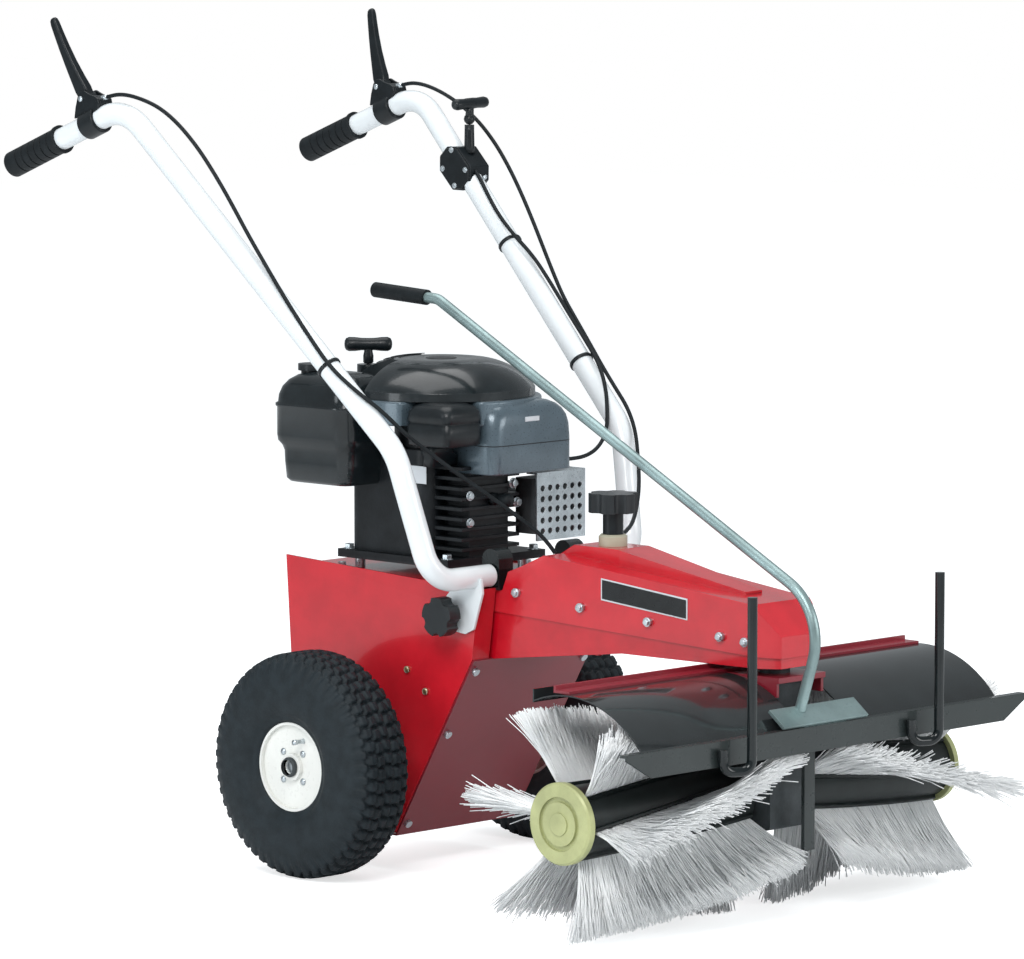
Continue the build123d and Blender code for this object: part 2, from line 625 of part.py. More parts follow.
def rim():
    """Left rim: dished disc, barrel and hub sleeve."""
    face_x = WHEEL_WIDTH / 2 - 20
    barrel = rod_x(RIM_RADIUS, -40, WHEEL_WIDTH / 2 - 14, 0, 0)
    barrel -= rod_x(RIM_RADIUS - 4, -41, WHEEL_WIDTH / 2, 0, 0)
    disc = rod_x(RIM_RADIUS - 3, face_x - 4, face_x, 0, 0)
    hub = rod_x(HUB_RADIUS, -42, face_x + 6, 0, 0)
    shape = barrel + disc + hub
    shape -= rod_x(AXLE_RADIUS + FIT, -60, 60, 0, 0)
    return Pos(WHEEL_MID_X, 0, WHEEL_RADIUS) * shape


# ---- Handles ------------------------------------------------------------------------------------
def handle_tube():
    """Left handle tube with the gusset that is clamped to the side plate."""
    points = [(GRIP_X, *tube_point_at(TUBE_END_Y)), (GRIP_X, BEND_Y, BEND_Z), (241, -170, 640),
              (214, HANDLE_PIVOT_Y, HANDLE_PIVOT_Z), (HANDLE_END_X, HANDLE_PIVOT_Y, HANDLE_PIVOT_Z)]
    outer = bent_bar(points, [70, 90, 50], TUBE_RADIUS)
    bore = bent_bar(points, [70, 90, 50], TUBE_BORE)
    inner = BODY_HALF_WIDTH + 1.0
    outline = [(-238, 452), (-240, 430), (-222, 376), (-205, 368), (-170, 372), (-158, 392),
               (-166, 420), (-196, 452)]
    gusset = side_prism(outline, inner, inner + 4)
    gusset -= rod_x(CLAMP_BOLT_RADIUS + FIT, inner - 1, inner + 5, CLAMP_Y, CLAMP_Z)
    return outer + gusset - bore


def grip_direction():
    """Unit vector along the grip, towards the operator."""
    return unit((1, -GRIP_FALL))


def grip():
    """Left rubber grip, closed at its end and ribbed."""
    dy, dz = grip_direction()
    tube_y, tube_z = tube_point_at(TUBE_END_Y)
    end = (tube_y + 6 * dy, tube_z + 6 * dz)
    start = (end[0] - GRIP_LENGTH * dy, end[1] - GRIP_LENGTH * dz)
    middle = ((start[0] + end[0]) / 2, (start[1] + end[1]) / 2)
    tilt = math.degrees(math.atan2(dz, dy))
    length = math.dist(start, end)
    frame = Pos(GRIP_X, middle[0], middle[1]) * Rot(tilt, 0, 0) * Rot(-90, 0, 0)
    body = Cylinder(GRIP_RADIUS, length)
    body += Pos(0, 0, -length / 2 + 2) * Cylinder(GRIP_RADIUS + 2, 4)
    for index in range(6):
        z = -length / 2 + 16 + 15 * index
        body -= Pos(0, 0, z) * (Cylinder(GRIP_RADIUS + 1, 2.5) - Cylinder(GRIP_RADIUS - 1.2, 3))
    body -= Pos(0, 0, -6) * Cylinder(TUBE_RADIUS, length)
    return frame * body


def lever_mount():
    """Left lever bracket, clamped round the tube in front of the grip."""
    dy, dz = grip_direction()
    tilt = math.degrees(math.atan2(dz, dy))
    frame = Pos(GRIP_X, *tube_point_at(LEVER_MOUNT_Y)) * Rot(tilt, 0, 0)
    ring = frame * (Pos(0, 0, -1) * Box(48, 48, 46) - Rot(90, 0, 0) * Cylinder(TUBE_RADIUS, 80))
    cheeks = frame * (Pos(13, -3, 34) * Box(5, 28, 28) + Pos(-13, -3, 34) * Box(5, 28, 28))
    stop = frame * (Pos(0, -20, 32) * Box(31, 8, 22))
    shape = ring + cheeks + stop
    pin = rod_x(4, GRIP_X - 15, GRIP_X + 15, LEVER_PIVOT_Y, LEVER_PIVOT_Z)
    return shape + pin


def tube_point_at(y):
    """Height of the grip end of the tube at a place along the machine."""
    return (y, BEND_Z - (y - BEND_Y) * GRIP_FALL)


def drive_lever():
    """Left hand lever: a tapered arm that stands up when released."""
    base = Vector(GRIP_X, LEVER_PIVOT_Y, LEVER_PIVOT_Z)
    tip = Vector(GRIP_X + 24, 458, 1256)
    axis = tip - base
    arm_plane = Plane(origin=base + axis * 0.07, z_dir=axis, x_dir=(0, 1, 0))
    tip_plane = Plane(origin=tip, z_dir=axis, x_dir=(0, 1, 0))
    arm = loft([arm_plane * RectangleRounded(25, 15, 5), tip_plane * RectangleRounded(15, 12, 4)])
    hub = rod_x(12, GRIP_X - 9.5, GRIP_X + 9.5, LEVER_PIVOT_Y, LEVER_PIVOT_Z)
    shape = hub + arm
    return shape - rod_x(4 + FIT, GRIP_X - 30, GRIP_X + 30, LEVER_PIVOT_Y, LEVER_PIVOT_Z)


def throttle_box():
    """Throttle control box on the left tube."""
    y, z = 228.0, 1030.0
    spine = tube_centre(z)
    body = Pos(spine[0], spine[1] - 8, z) * Rot(-44, 0, 0) * Box(46, 52, 74)
    body = chamfer(body.edges().filter_by(Axis.X), 14)
    body -= handle_bar_void()
    pivot = rod_x(5, spine[0] - 29, spine[0] + 29, y - 22, z + 62)
    ears = block(spine[0] - 29, spine[0] - 22.5, y - 34, y - 10, z + 4, z + 74)
    ears += block(spine[0] + 22.5, spine[0] + 29, y - 34, y - 10, z + 4, z + 74)
    return body + ears + pivot


def tube_centre(z):
    """Centre of the long straight run of the left tube at a height."""
    share = (BEND_Z - z) / (BEND_Z - 640)
    return (GRIP_X + share * (241 - GRIP_X), BEND_Y + share * (-170 - BEND_Y))


def handle_bar_void():
    """Space of the left tube's long straight run."""
    top = Vector(GRIP_X, BEND_Y, BEND_Z)
    bottom = Vector(241, -170, 640)
    plane = Plane(origin=bottom, z_dir=top - bottom)
    return extrude(plane * Circle(TUBE_RADIUS), (top - bottom).length)


def throttle_lever():
    """Throttle knob: a T-handle on a short stem."""
    spine = tube_centre(1030.0)
    y, z = 206.0, 1092.0
    stem = block(spine[0] - 6, spine[0] + 6, y - 7, y + 7, z - 12, z + 26)
    hub = rod_x(12, spine[0] - 20, spine[0] + 20, y, z)
    bar = rod_x(9, spine[0] - 28, spine[0] + 28, y, z + 28)
    return hub + stem + bar - rod_x(5 + FIT, spine[0] - 40, spine[0] + 40, y, z)


def clamp_knob():
    """Left star knob with the bolt that passes through gusset and side plate."""
    outer = BODY_HALF_WIDTH + 5.0 + GAP
    bolt = rod_x(CLAMP_BOLT_RADIUS, BODY_HALF_WIDTH - 9, outer, CLAMP_Y, CLAMP_Z)
    hub = rod_x(13, outer, outer + 16, CLAMP_Y, CLAMP_Z)
    head = Pos(outer + 26, CLAMP_Y, CLAMP_Z) * Rot(0, 90, 0) * star_plate(29, 5, 22)
    return bolt + hub + head


CABLE_RIGHT = [(-311, 381, 1135.5), (-311, 356, 1143), (-311, 326, 1145), (-310, 291, 1139),
               (-305, 257, 1127), (-300, 222, 1104), (-294, 186, 1069), (-288, 154, 1028),
               (-283, 126, 988), (-279, 99, 948), (-276, 71, 911), (-275.6, 39.6, 874.3),
               (-277.3, 7.4, 840.6), (-276, -30, 800), (-274.7, -71, 758.9), (-262.3, -111.7, 726),
               (-239.8, -140.8, 698.6), (-218, -163, 667), (-191, -182, 641), (-163, -201, 615),
               (-133, -223, 588), (-103, -246, 561), (-74, -268, 534), (-51, -289, 508),
               (-43, -301, 487)]
CABLE_LEFT = [(311, 381, 1135.5), (312, 356, 1143), (315, 328, 1143), (322, 296, 1133),
              (330, 260, 1114), (335, 222, 1087), (334, 184, 1053), (328, 148, 1016),
              (320, 114, 977), (311, 82, 938), (302, 52, 900), (293, 23, 864), (285, -6, 829),
              (279, -38, 797), (273, -72, 763), (268, -104, 729), (262.1, -136.2, 698.9),
              (255.7, -168, 671), (244.6, -194.3, 638.3), (229, -214, 600), (208, -236, 562),
              (178, -258, 531), (140, -284, 513), (98, -310, 508), (63, -327, 501),
              (49, -333, 488.8)]
CABLE_THROTTLE = [(288, 183.3, 1013.6), (286, 169.3, 999.4), (279, 150, 981), (271.6, 120.6, 952),
                  (266.8, 85.3, 923.3), (273.9, 46.5, 889.3), (277.5, 10.6, 846.5),
                  (273, -30, 804), (265.8, -73.7, 763.9), (252.4, -113.5, 731.9),
                  (235, -142.2, 699.2), (221.2, -158.2, 667.3), (215.2, -162, 636.1),
                  (194, -164, 614), (164, -166, 604), (136, -160, 602), (122.9, -158, 602)]


# ---- Brush head ---------------------------------------------------------------------------------
def gearbox_case():
    """Gearbox round the brush shaft and the worm, with the neck on which the head swivels."""
    half = GEARCASE_HALF_WIDTH
    outline = [(-600, 124), (-716, 124), (-716, 290), (-722, 338), (-658, 338), (-640, 290),
               (-600, 220)]
    case = side_prism(outline, -half, half)
    case = fillet(case.edges().filter_by(Axis.X), 6)
    hollow = side_prism([(-610, 133), (-708, 133), (-708, 300), (-672, 300), (-645, 260), (-610, 212)],
                        -half + 9, half - 9)
    case += rod_z(NECK_RADIUS, 336, 374, 0, PIVOT_Y)
    case -= hollow
    case -= rod_z(16, 290, 380, 0, PIVOT_Y)
    case += rod_z(17, 366, 374, 0, PIVOT_Y) - rod_z(10 + FIT, 360, 380, 0, PIVOT_Y)
    return case - rod_x(BRUSH_SHAFT_RADIUS + FIT, -60, 60, BRUSH_Y, BRUSH_Z)


def worm_shaft():
    """Vertical input shaft with the worm at its lower end."""
    shaft = rod_z(10, 150, BELT_Z + 14, 0, PIVOT_Y)
    return shaft + rod_z(WORM_PITCH_RADIUS + 2, BRUSH_Z - 22, BRUSH_Z + 22, 0, PIVOT_Y)


def worm_wheel():
    """Worm wheel on the brush shaft."""
    offset = BRUSH_Y - PIVOT_Y - WORM_PITCH_RADIUS - 2
    wheel = rod_x(offset - GAP, -9, 9, BRUSH_Y, BRUSH_Z)
    wheel += rod_x(20, -22, 22, BRUSH_Y, BRUSH_Z)
    return wheel - rod_x(BRUSH_SHAFT_RADIUS, -40, 40, BRUSH_Y, BRUSH_Z)


def head_bracket():
    """Red head frame: a plate under the boom and the cross bar over the hoods."""
    top = HEAD_PLATE_TOP
    plate = block(-50, 50, -742, -600, top - 8, top) - rod_z(NECK_RADIUS, 300, 380, 0, PIVOT_Y)
    cheeks = block(-50, -45, -738, -640, 318, top - 7) + block(45, 50, -738, -640, 318, top - 7)
    bar = block(-374, 374, -642, -612, top, top + 4)
    bar += block(-374, 374, -616, -612, top + 3, top + 10)
    return plate + cheeks + bar


def hood():
    """Left hood: part of a cylinder over the brush, with a raised rear lip."""
    inner = HOOD_RADIUS - HOOD_SHEET
    wedge = [(0, 0)]
    for angle in (HOOD_FRONT_ANGLE, 70, HOOD_REAR_ANGLE):
        turn = math.radians(angle)
        wedge.append((-260 * math.cos(turn), 260 * math.sin(turn)))
    ring = rod_x(HOOD_RADIUS, HOOD_INNER_X, HOOD_OUTER_X, BRUSH_Y, BRUSH_Z)
    ring -= rod_x(inner, HOOD_INNER_X - 1, HOOD_OUTER_X + 1, BRUSH_Y, BRUSH_Z)
    outline = [(BRUSH_Y + y, BRUSH_Z + z) for y, z in wedge]
    shell = ring & side_prism(outline, HOOD_INNER_X - 1, HOOD_OUTER_X + 1)
    turn = math.radians(HOOD_REAR_ANGLE)
    lip_y = BRUSH_Y - inner * math.cos(turn)
    lip_z = BRUSH_Z + inner * math.sin(turn)
    lip = block(HOOD_INNER_X, HOOD_OUTER_X, lip_y - 1, lip_y + 1.5, lip_z - 1, HEAD_PLATE_TOP + 3)
    return shell + lip


def front_rail():
    """Front rail: a folded plate with chamfered ends and the bar that hangs from its middle."""
    y0, y1 = RAIL_Y - RAIL_SHEET / 2, RAIL_Y + RAIL_SHEET / 2
    half = RAIL_HALF_WIDTH
    outline = [(-half, RAIL_TOP), (half, RAIL_TOP), (half, RAIL_TOP - 8), (half - 50, RAIL_BOTTOM),
               (-half + 50, RAIL_BOTTOM), (-half, RAIL_TOP - 8)]
    face = make_face(Polyline([(x, y0, z) for x, z in outline], close=True))
    rail = extrude(face, RAIL_SHEET, dir=(0, 1, 0))
    rail += block(-half, half, y0, y1 + 10, RAIL_TOP - RAIL_SHEET, RAIL_TOP)
    rail += block(-11, 11, y1 - 1, -751, 256, 262)
    return rail + block(-11, 11, -757, -751, 97, 262)


def guard_rods():
    """Two J-shaped rods on the front rail."""
    front = RAIL_Y - RAIL_SHEET / 2
    rods = []
    for x in (-201, 201):
        inner_y = front - 7
        points = [(x, -826, 482), (x, -826, 240), (x - 40, inner_y, 240), (x - 40, inner_y, 272)]
        rods.append(bent_bar(points, [16, 16], 7))
    return Compound(children=rods)


def steering_rod():
    """Steering rod of the brush head with the plate that holds it on the hood."""
    points = [(ROD_X, 62, 853), (ROD_X, -64, 846), (ROD_X, -824, 447), (ROD_X, -777.5, 304.4)]
    rod = bent_bar(points, [30, 90], ROD_RADIUS)
    plate = Pos(-15, -786, 297) * Rot(38, 0, 0) * Box(180, 36, 5)
    foot = block(-60, 30, -798, -787.5, RAIL_TOP, RAIL_TOP + 6)
    return rod + plate + foot


def steering_grip():
    """Rubber grip on the end of the steering rod."""
    rod_end = Vector(ROD_X, 62, 853)
    along = (Vector(ROD_X, -64, 846) - rod_end).normalized()
    outer = Plane(origin=rod_end - along * 5, z_dir=along)
    inner = Plane(origin=rod_end, z_dir=along)
    return extrude(outer * Circle(11.5), 108) - extrude(inner * Circle(ROD_RADIUS + FIT), 110)


def brush_shaft():
    """Shaft through both brush halves."""
    return rod_x(BRUSH_SHAFT_RADIUS, -392, 392, BRUSH_Y, BRUSH_Z)


def brush_tubes():
    """Carrier tube of each brush half with its end discs."""
    right = rod_x(BRUSH_TUBE_RADIUS, BRUSH_INNER_X, BRUSH_OUTER_X, BRUSH_Y, BRUSH_Z)
    right -= rod_x(BRUSH_TUBE_RADIUS - 4, BRUSH_INNER_X + 6, BRUSH_OUTER_X - 6, BRUSH_Y, BRUSH_Z)
    right -= rod_x(BRUSH_SHAFT_RADIUS, 0, 400, BRUSH_Y, BRUSH_Z)
    return Compound(children=[right, mirrored(right)])


def bristle_rows():
    """Bristle strips of the left brush half, each a fan that turns slowly along the tube."""
    length = BRUSH_OUTER_X - BRUSH_INNER_X - 16
    root = BRUSH_TUBE_RADIUS + 0.2
    plane = Plane(origin=(BRUSH_INNER_X + 8, BRUSH_Y, BRUSH_Z), x_dir=(0, 1, 0), z_dir=(1, 0, 0))
    tip = math.sqrt(BRUSH_TIP_RADIUS ** 2 - 13 ** 2)
    fan = make_face(Polyline([(root, -4), (tip, -13), (tip, 13), (root, 4)], close=True))
    rows = []
    for index in range(BRISTLE_ROWS):
        turned = Rot(0, 0, BRISTLE_PHASE + 360 * index / BRISTLE_ROWS) * fan
        face = (plane * turned).faces()[0]
        rows.append(Solid.extrude_linear_with_rotation(
            face, center=plane.origin, normal=Vector(1, 0, 0) * length, angle=BRISTLE_TWIST))
    return Compound(children=rows)


def end_rings():
    """Turned ring on the outer end of each brush half."""
    x0 = BRUSH_OUTER_X
    x1 = BRUSH_OUTER_X + RING_THICKNESS
    ring = rod_x(RING_RADIUS, x0, x1, BRUSH_Y, BRUSH_Z)
    ring = chamfer(ring.edges().group_by(Axis.X)[-1], 3)
    groove = rod_x(38, x1 - 4, x1 + 1, BRUSH_Y, BRUSH_Z) - rod_x(31, x1 - 5, x1 + 1, BRUSH_Y, BRUSH_Z)
    ring -= groove
    ring += rod_x(16, x0, x1 + 2, BRUSH_Y, BRUSH_Z)
    ring -= rod_x(BRUSH_SHAFT_RADIUS, x0 - 1, BRUSH_OUTER_X + 6, BRUSH_Y, BRUSH_Z)
    return Compound(children=[ring, mirrored(ring)])


# ---- Assembly -----------------------------------------------------------------------------------
def build_nodes():
    """Every node of the machine, in drawing coordinates."""
    left_plate = side_plate()
    left_tyre = tyre()
    left_rim = rim()
    left_tube = handle_tube()
    left_grip = grip()
    left_mount = lever_mount()
    left_lever = drive_lever()
    left_clamp = clamp_knob()
    left_hood = hood()
    left_rows = bristle_rows()
    return {
        "side_plate_left": left_plate,
        "side_plate_right": mirrored(left_plate),
        "front_plate": front_plate(),
        "engine_deck": engine_deck(),
        "chassis_bolts": chassis_bolts(),
        "boom_tray": boom_tray(),
        "boom_cover": boom_cover(),
        "handle_blocks": handle_blocks(),
        "lock_ring": lock_ring(),
        "height_knob": height_knob(),
        "brush_belt": brush_belt(),
        "belt_idler": belt_idler(),
        "crankshaft": crankshaft(),
        "crank_pulley": pulley(ENGINE_PULLEY_RADIUS, ENGINE_Y, CRANK_RADIUS),
        "engine_block": engine_block(),
        "blower_housing": blower_housing(),
        "starter_cover": starter_cover(),
        "recoil_grip": recoil_grip(),
        "fuel_tank": fuel_tank(),
        "fuel_cap": fuel_cap(),
        "air_filter_box": air_filter_box(),
        "muffler": muffler(),
        "muffler_guard": muffler_guard(),
        "axle_shaft": axle_shaft(),
        "transmission_case": transmission_case(),
        "tyre_left": left_tyre,
        "tyre_right": mirrored(left_tyre),
        "rim_left": left_rim,
        "rim_right": mirrored(left_rim),
        "handle_tube_left": left_tube,
        "handle_tube_right": mirrored(left_tube),
        "grip_left": left_grip,
        "grip_right": mirrored(left_grip),
        "lever_mount_left": left_mount,
        "lever_mount_right": mirrored(left_mount),
        "drive_lever_left": left_lever,
        "drive_lever_right": mirrored(left_lever),
        "throttle_box": throttle_box(),
        "throttle_lever": throttle_lever(),
        "clamp_knob_left": left_clamp,
        "clamp_knob_right": mirrored(left_clamp),
        "cable_right": cord_tube("cable_right", CABLE_RIGHT),
        "cable_left": cord_tube("cable_left", CABLE_LEFT),
        "cable_throttle": cord_tube("cable_throttle", CABLE_THROTTLE),
        "gearbox_case": gearbox_case(),
        "worm_shaft": worm_shaft(),
        "brush_pulley": pulley(BRUSH_PULLEY_RADIUS, PIVOT_Y, 10),
        "head_bracket": head_bracket(),
        "hood_left": left_hood,
        "hood_right": mirrored(left_hood),
        "front_rail": front_rail(),
        "guard_rods": guard_rods(),
        "steering_rod": steering_rod(),
        "steering_grip": steering_grip(),
        "brush_shaft": brush_shaft(),
        "worm_wheel": worm_wheel(),
        "brush_tubes": brush_tubes(),
        "bristles_left": left_rows,
        "bristles_right": mirrored(left_rows),
        "end_rings": end_rings(),
    }


def origin_shift(nodes):
    """Move that puts the origin under the middle of the bounding box."""
    boxes = [shape.bounding_box() for shape in nodes.values()]
    low = [min(getattr(box.min, axis) for box in boxes) for axis in "XYZ"]
    high = [max(getattr(box.max, axis) for box in boxes) for axis in "XYZ"]
    return (-(low[0] + high[0]) / 2, -(low[1] + high[1]) / 2, -low[2])


def main():
    """Write one STEP file per node."""
    os.makedirs("parts", exist_ok=True)
    nodes = build_nodes()
    shift = origin_shift(nodes)
    print("origin shift", shift)
    for name, shape in nodes.items():
        solids = [Pos(*shift) * solid for solid in shape.solids()]
        whole = solids[0] if len(solids) == 1 else Compound(children=solids)
        export_step(whole, f"parts/{name}.step")
    print(len(nodes), "nodes")


if __name__ == "__main__":
    main()
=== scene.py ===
import math
import random

import bpy
from mathutils import Matrix, Vector


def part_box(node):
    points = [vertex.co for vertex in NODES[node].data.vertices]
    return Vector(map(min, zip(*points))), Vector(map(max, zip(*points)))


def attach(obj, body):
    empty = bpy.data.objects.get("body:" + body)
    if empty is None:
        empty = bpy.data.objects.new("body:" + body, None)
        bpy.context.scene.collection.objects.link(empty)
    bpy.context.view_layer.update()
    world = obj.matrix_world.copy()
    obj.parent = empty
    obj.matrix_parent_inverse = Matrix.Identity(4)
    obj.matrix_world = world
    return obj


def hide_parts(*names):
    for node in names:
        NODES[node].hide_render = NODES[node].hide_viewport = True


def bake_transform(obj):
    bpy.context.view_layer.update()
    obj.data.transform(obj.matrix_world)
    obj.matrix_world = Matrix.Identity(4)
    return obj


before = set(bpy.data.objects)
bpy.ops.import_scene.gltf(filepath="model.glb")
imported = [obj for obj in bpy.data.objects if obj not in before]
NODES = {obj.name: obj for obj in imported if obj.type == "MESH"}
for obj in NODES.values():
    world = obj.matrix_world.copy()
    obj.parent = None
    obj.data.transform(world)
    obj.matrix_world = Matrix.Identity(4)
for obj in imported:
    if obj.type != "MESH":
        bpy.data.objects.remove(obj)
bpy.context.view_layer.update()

# The machine drives towards -Y. Lengths below are in millimetres from the point on the floor under
# the middle of the wheel axle, and place() turns them into metres in the frame.
AXLE_LOW, AXLE_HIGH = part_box("axle_shaft")
SHIFT_Y = (AXLE_LOW[1] + AXLE_HIGH[1]) / 2


def place(x, y, z):
    return Vector((x / 1000, y / 1000 + SHIFT_Y, z / 1000))


# ---- Camera, light and floor --------------------------------------------------------------------
AZIMUTH = math.radians(-46.101)
PITCH = math.radians(6.028)
FOCAL_PX = 6069.6
AIM_RIGHT = 124.05
AIM_UP = 566.67
CAMERA_RANGE = 9134.1
IMAGE_WIDTH = 1024
SENSOR = 36.0


def add_camera():
    back = Vector((math.sin(AZIMUTH) * math.cos(PITCH), -math.cos(AZIMUTH) * math.cos(PITCH),
                   math.sin(PITCH)))
    right = Vector((math.cos(AZIMUTH), math.sin(AZIMUTH), 0))
    up = back.cross(right)
    centre = back * CAMERA_RANGE + right * AIM_RIGHT + up * AIM_UP
    camera = bpy.data.objects.new("camera", bpy.data.cameras.new("camera"))
    camera.data.sensor_width = SENSOR
    camera.data.sensor_fit = "HORIZONTAL"
    camera.data.lens = FOCAL_PX * SENSOR / IMAGE_WIDTH
    camera.data.clip_end = 60
    turn = Matrix((right, up, back)).transposed().to_4x4()
    camera.matrix_world = Matrix.Translation(place(*centre)) @ turn
    bpy.context.scene.collection.objects.link(camera)
    bpy.context.scene.camera = camera


def add_light(name, location, target, size, power, colour=(1, 1, 1)):
    lamp = bpy.data.lights.new(name, "AREA")
    lamp.shape = "RECTANGLE"
    lamp.size, lamp.size_y = size
    lamp.energy = power
    lamp.color = colour
    holder = bpy.data.objects.new(name, lamp)
    holder.location = location
    holder.rotation_euler = (Vector(target) - Vector(location)).to_track_quat("-Z", "Y").to_euler()
    bpy.context.scene.collection.objects.link(holder)


def add_studio():
    """White surroundings that light the object softly, with brighter panels above and beside it."""
    scene = bpy.context.scene
    world = bpy.data.worlds.new("studio")
    scene.world = world
    world.use_nodes = True
    tree = world.node_tree
    seen = tree.nodes["Background"]
    seen.inputs["Color"].default_value = (1.0, 1.0, 1.0, 1)
    seen.inputs["Strength"].default_value = 1.0
    lighting = tree.nodes.new("ShaderNodeBackground")
    lighting.inputs["Color"].default_value = (0.90, 0.96, 1.0, 1)
    lighting.inputs["Strength"].default_value = 0.42
    path = tree.nodes.new("ShaderNodeLightPath")
    either = tree.nodes.new("ShaderNodeMixShader")
    tree.links.new(path.outputs["Is Camera Ray"], either.inputs[0])
    tree.links.new(lighting.outputs[0], either.inputs[1])
    tree.links.new(seen.outputs[0], either.inputs[2])
    tree.links.new(either.outputs[0], tree.nodes["World Output"].inputs["Surface"])
    middle = (0, 0, 0.5)
    add_light("key", (-2.9, -2.0, 3.2), middle, (1.8, 1.8), 105)
    add_light("side", (-3.6, 1.0, 1.4), middle, (1.0, 2.4), 34, (0.90, 0.96, 1.0))
    add_light("front", (1.2, -3.6, 1.4), middle, (2.2, 1.2), 42)
    add_light("top", (0.2, 0.6, 3.8), middle, (2.6, 2.6), 62)
    scene.view_settings.view_transform = "Standard"
    scene.view_settings.look = "None"
    mesh = bpy.data.meshes.new("floor")
    reach = 14
    mesh.from_pydata([(-reach, -reach, 0), (reach, -reach, 0), (reach, reach, 0), (-reach, reach, 0)],
                     [], [(0, 1, 2, 3)])
    floor = bpy.data.objects.new("floor", mesh)
    scene.collection.objects.link(floor)
    floor.data.materials.append(floor_paper())


def floor_paper():
    """Pale paper, lifted to white where the camera sees it, which still takes a soft shadow."""
    material = surface("floor_paper", (0.90, 0.92, 0.93), rough=0.8, grain=30, tone=0.015, bump=0.02)
    tree = material.node_tree
    shader = tree.nodes["Principled BSDF"]
    glow = tree.nodes.new("ShaderNodeEmission")
    glow.inputs["Strength"].default_value = 0.66
    path = tree.nodes.new("ShaderNodeLightPath")
    dark = tree.nodes.new("ShaderNodeEmission")
    dark.inputs["Strength"].default_value = 0.0
    pick = tree.nodes.new("ShaderNodeMixShader")
    add = tree.nodes.new("ShaderNodeAddShader")
    tree.links.new(path.outputs["Is Camera Ray"], pick.inputs[0])
    tree.links.new(dark.outputs[0], pick.inputs[1])
    tree.links.new(glow.outputs[0], pick.inputs[2])
    tree.links.new(shader.outputs[0], add.inputs[0])
    tree.links.new(pick.outputs[0], add.inputs[1])
    tree.links.new(add.outputs[0], tree.nodes["Material Output"].inputs["Surface"])
    return material


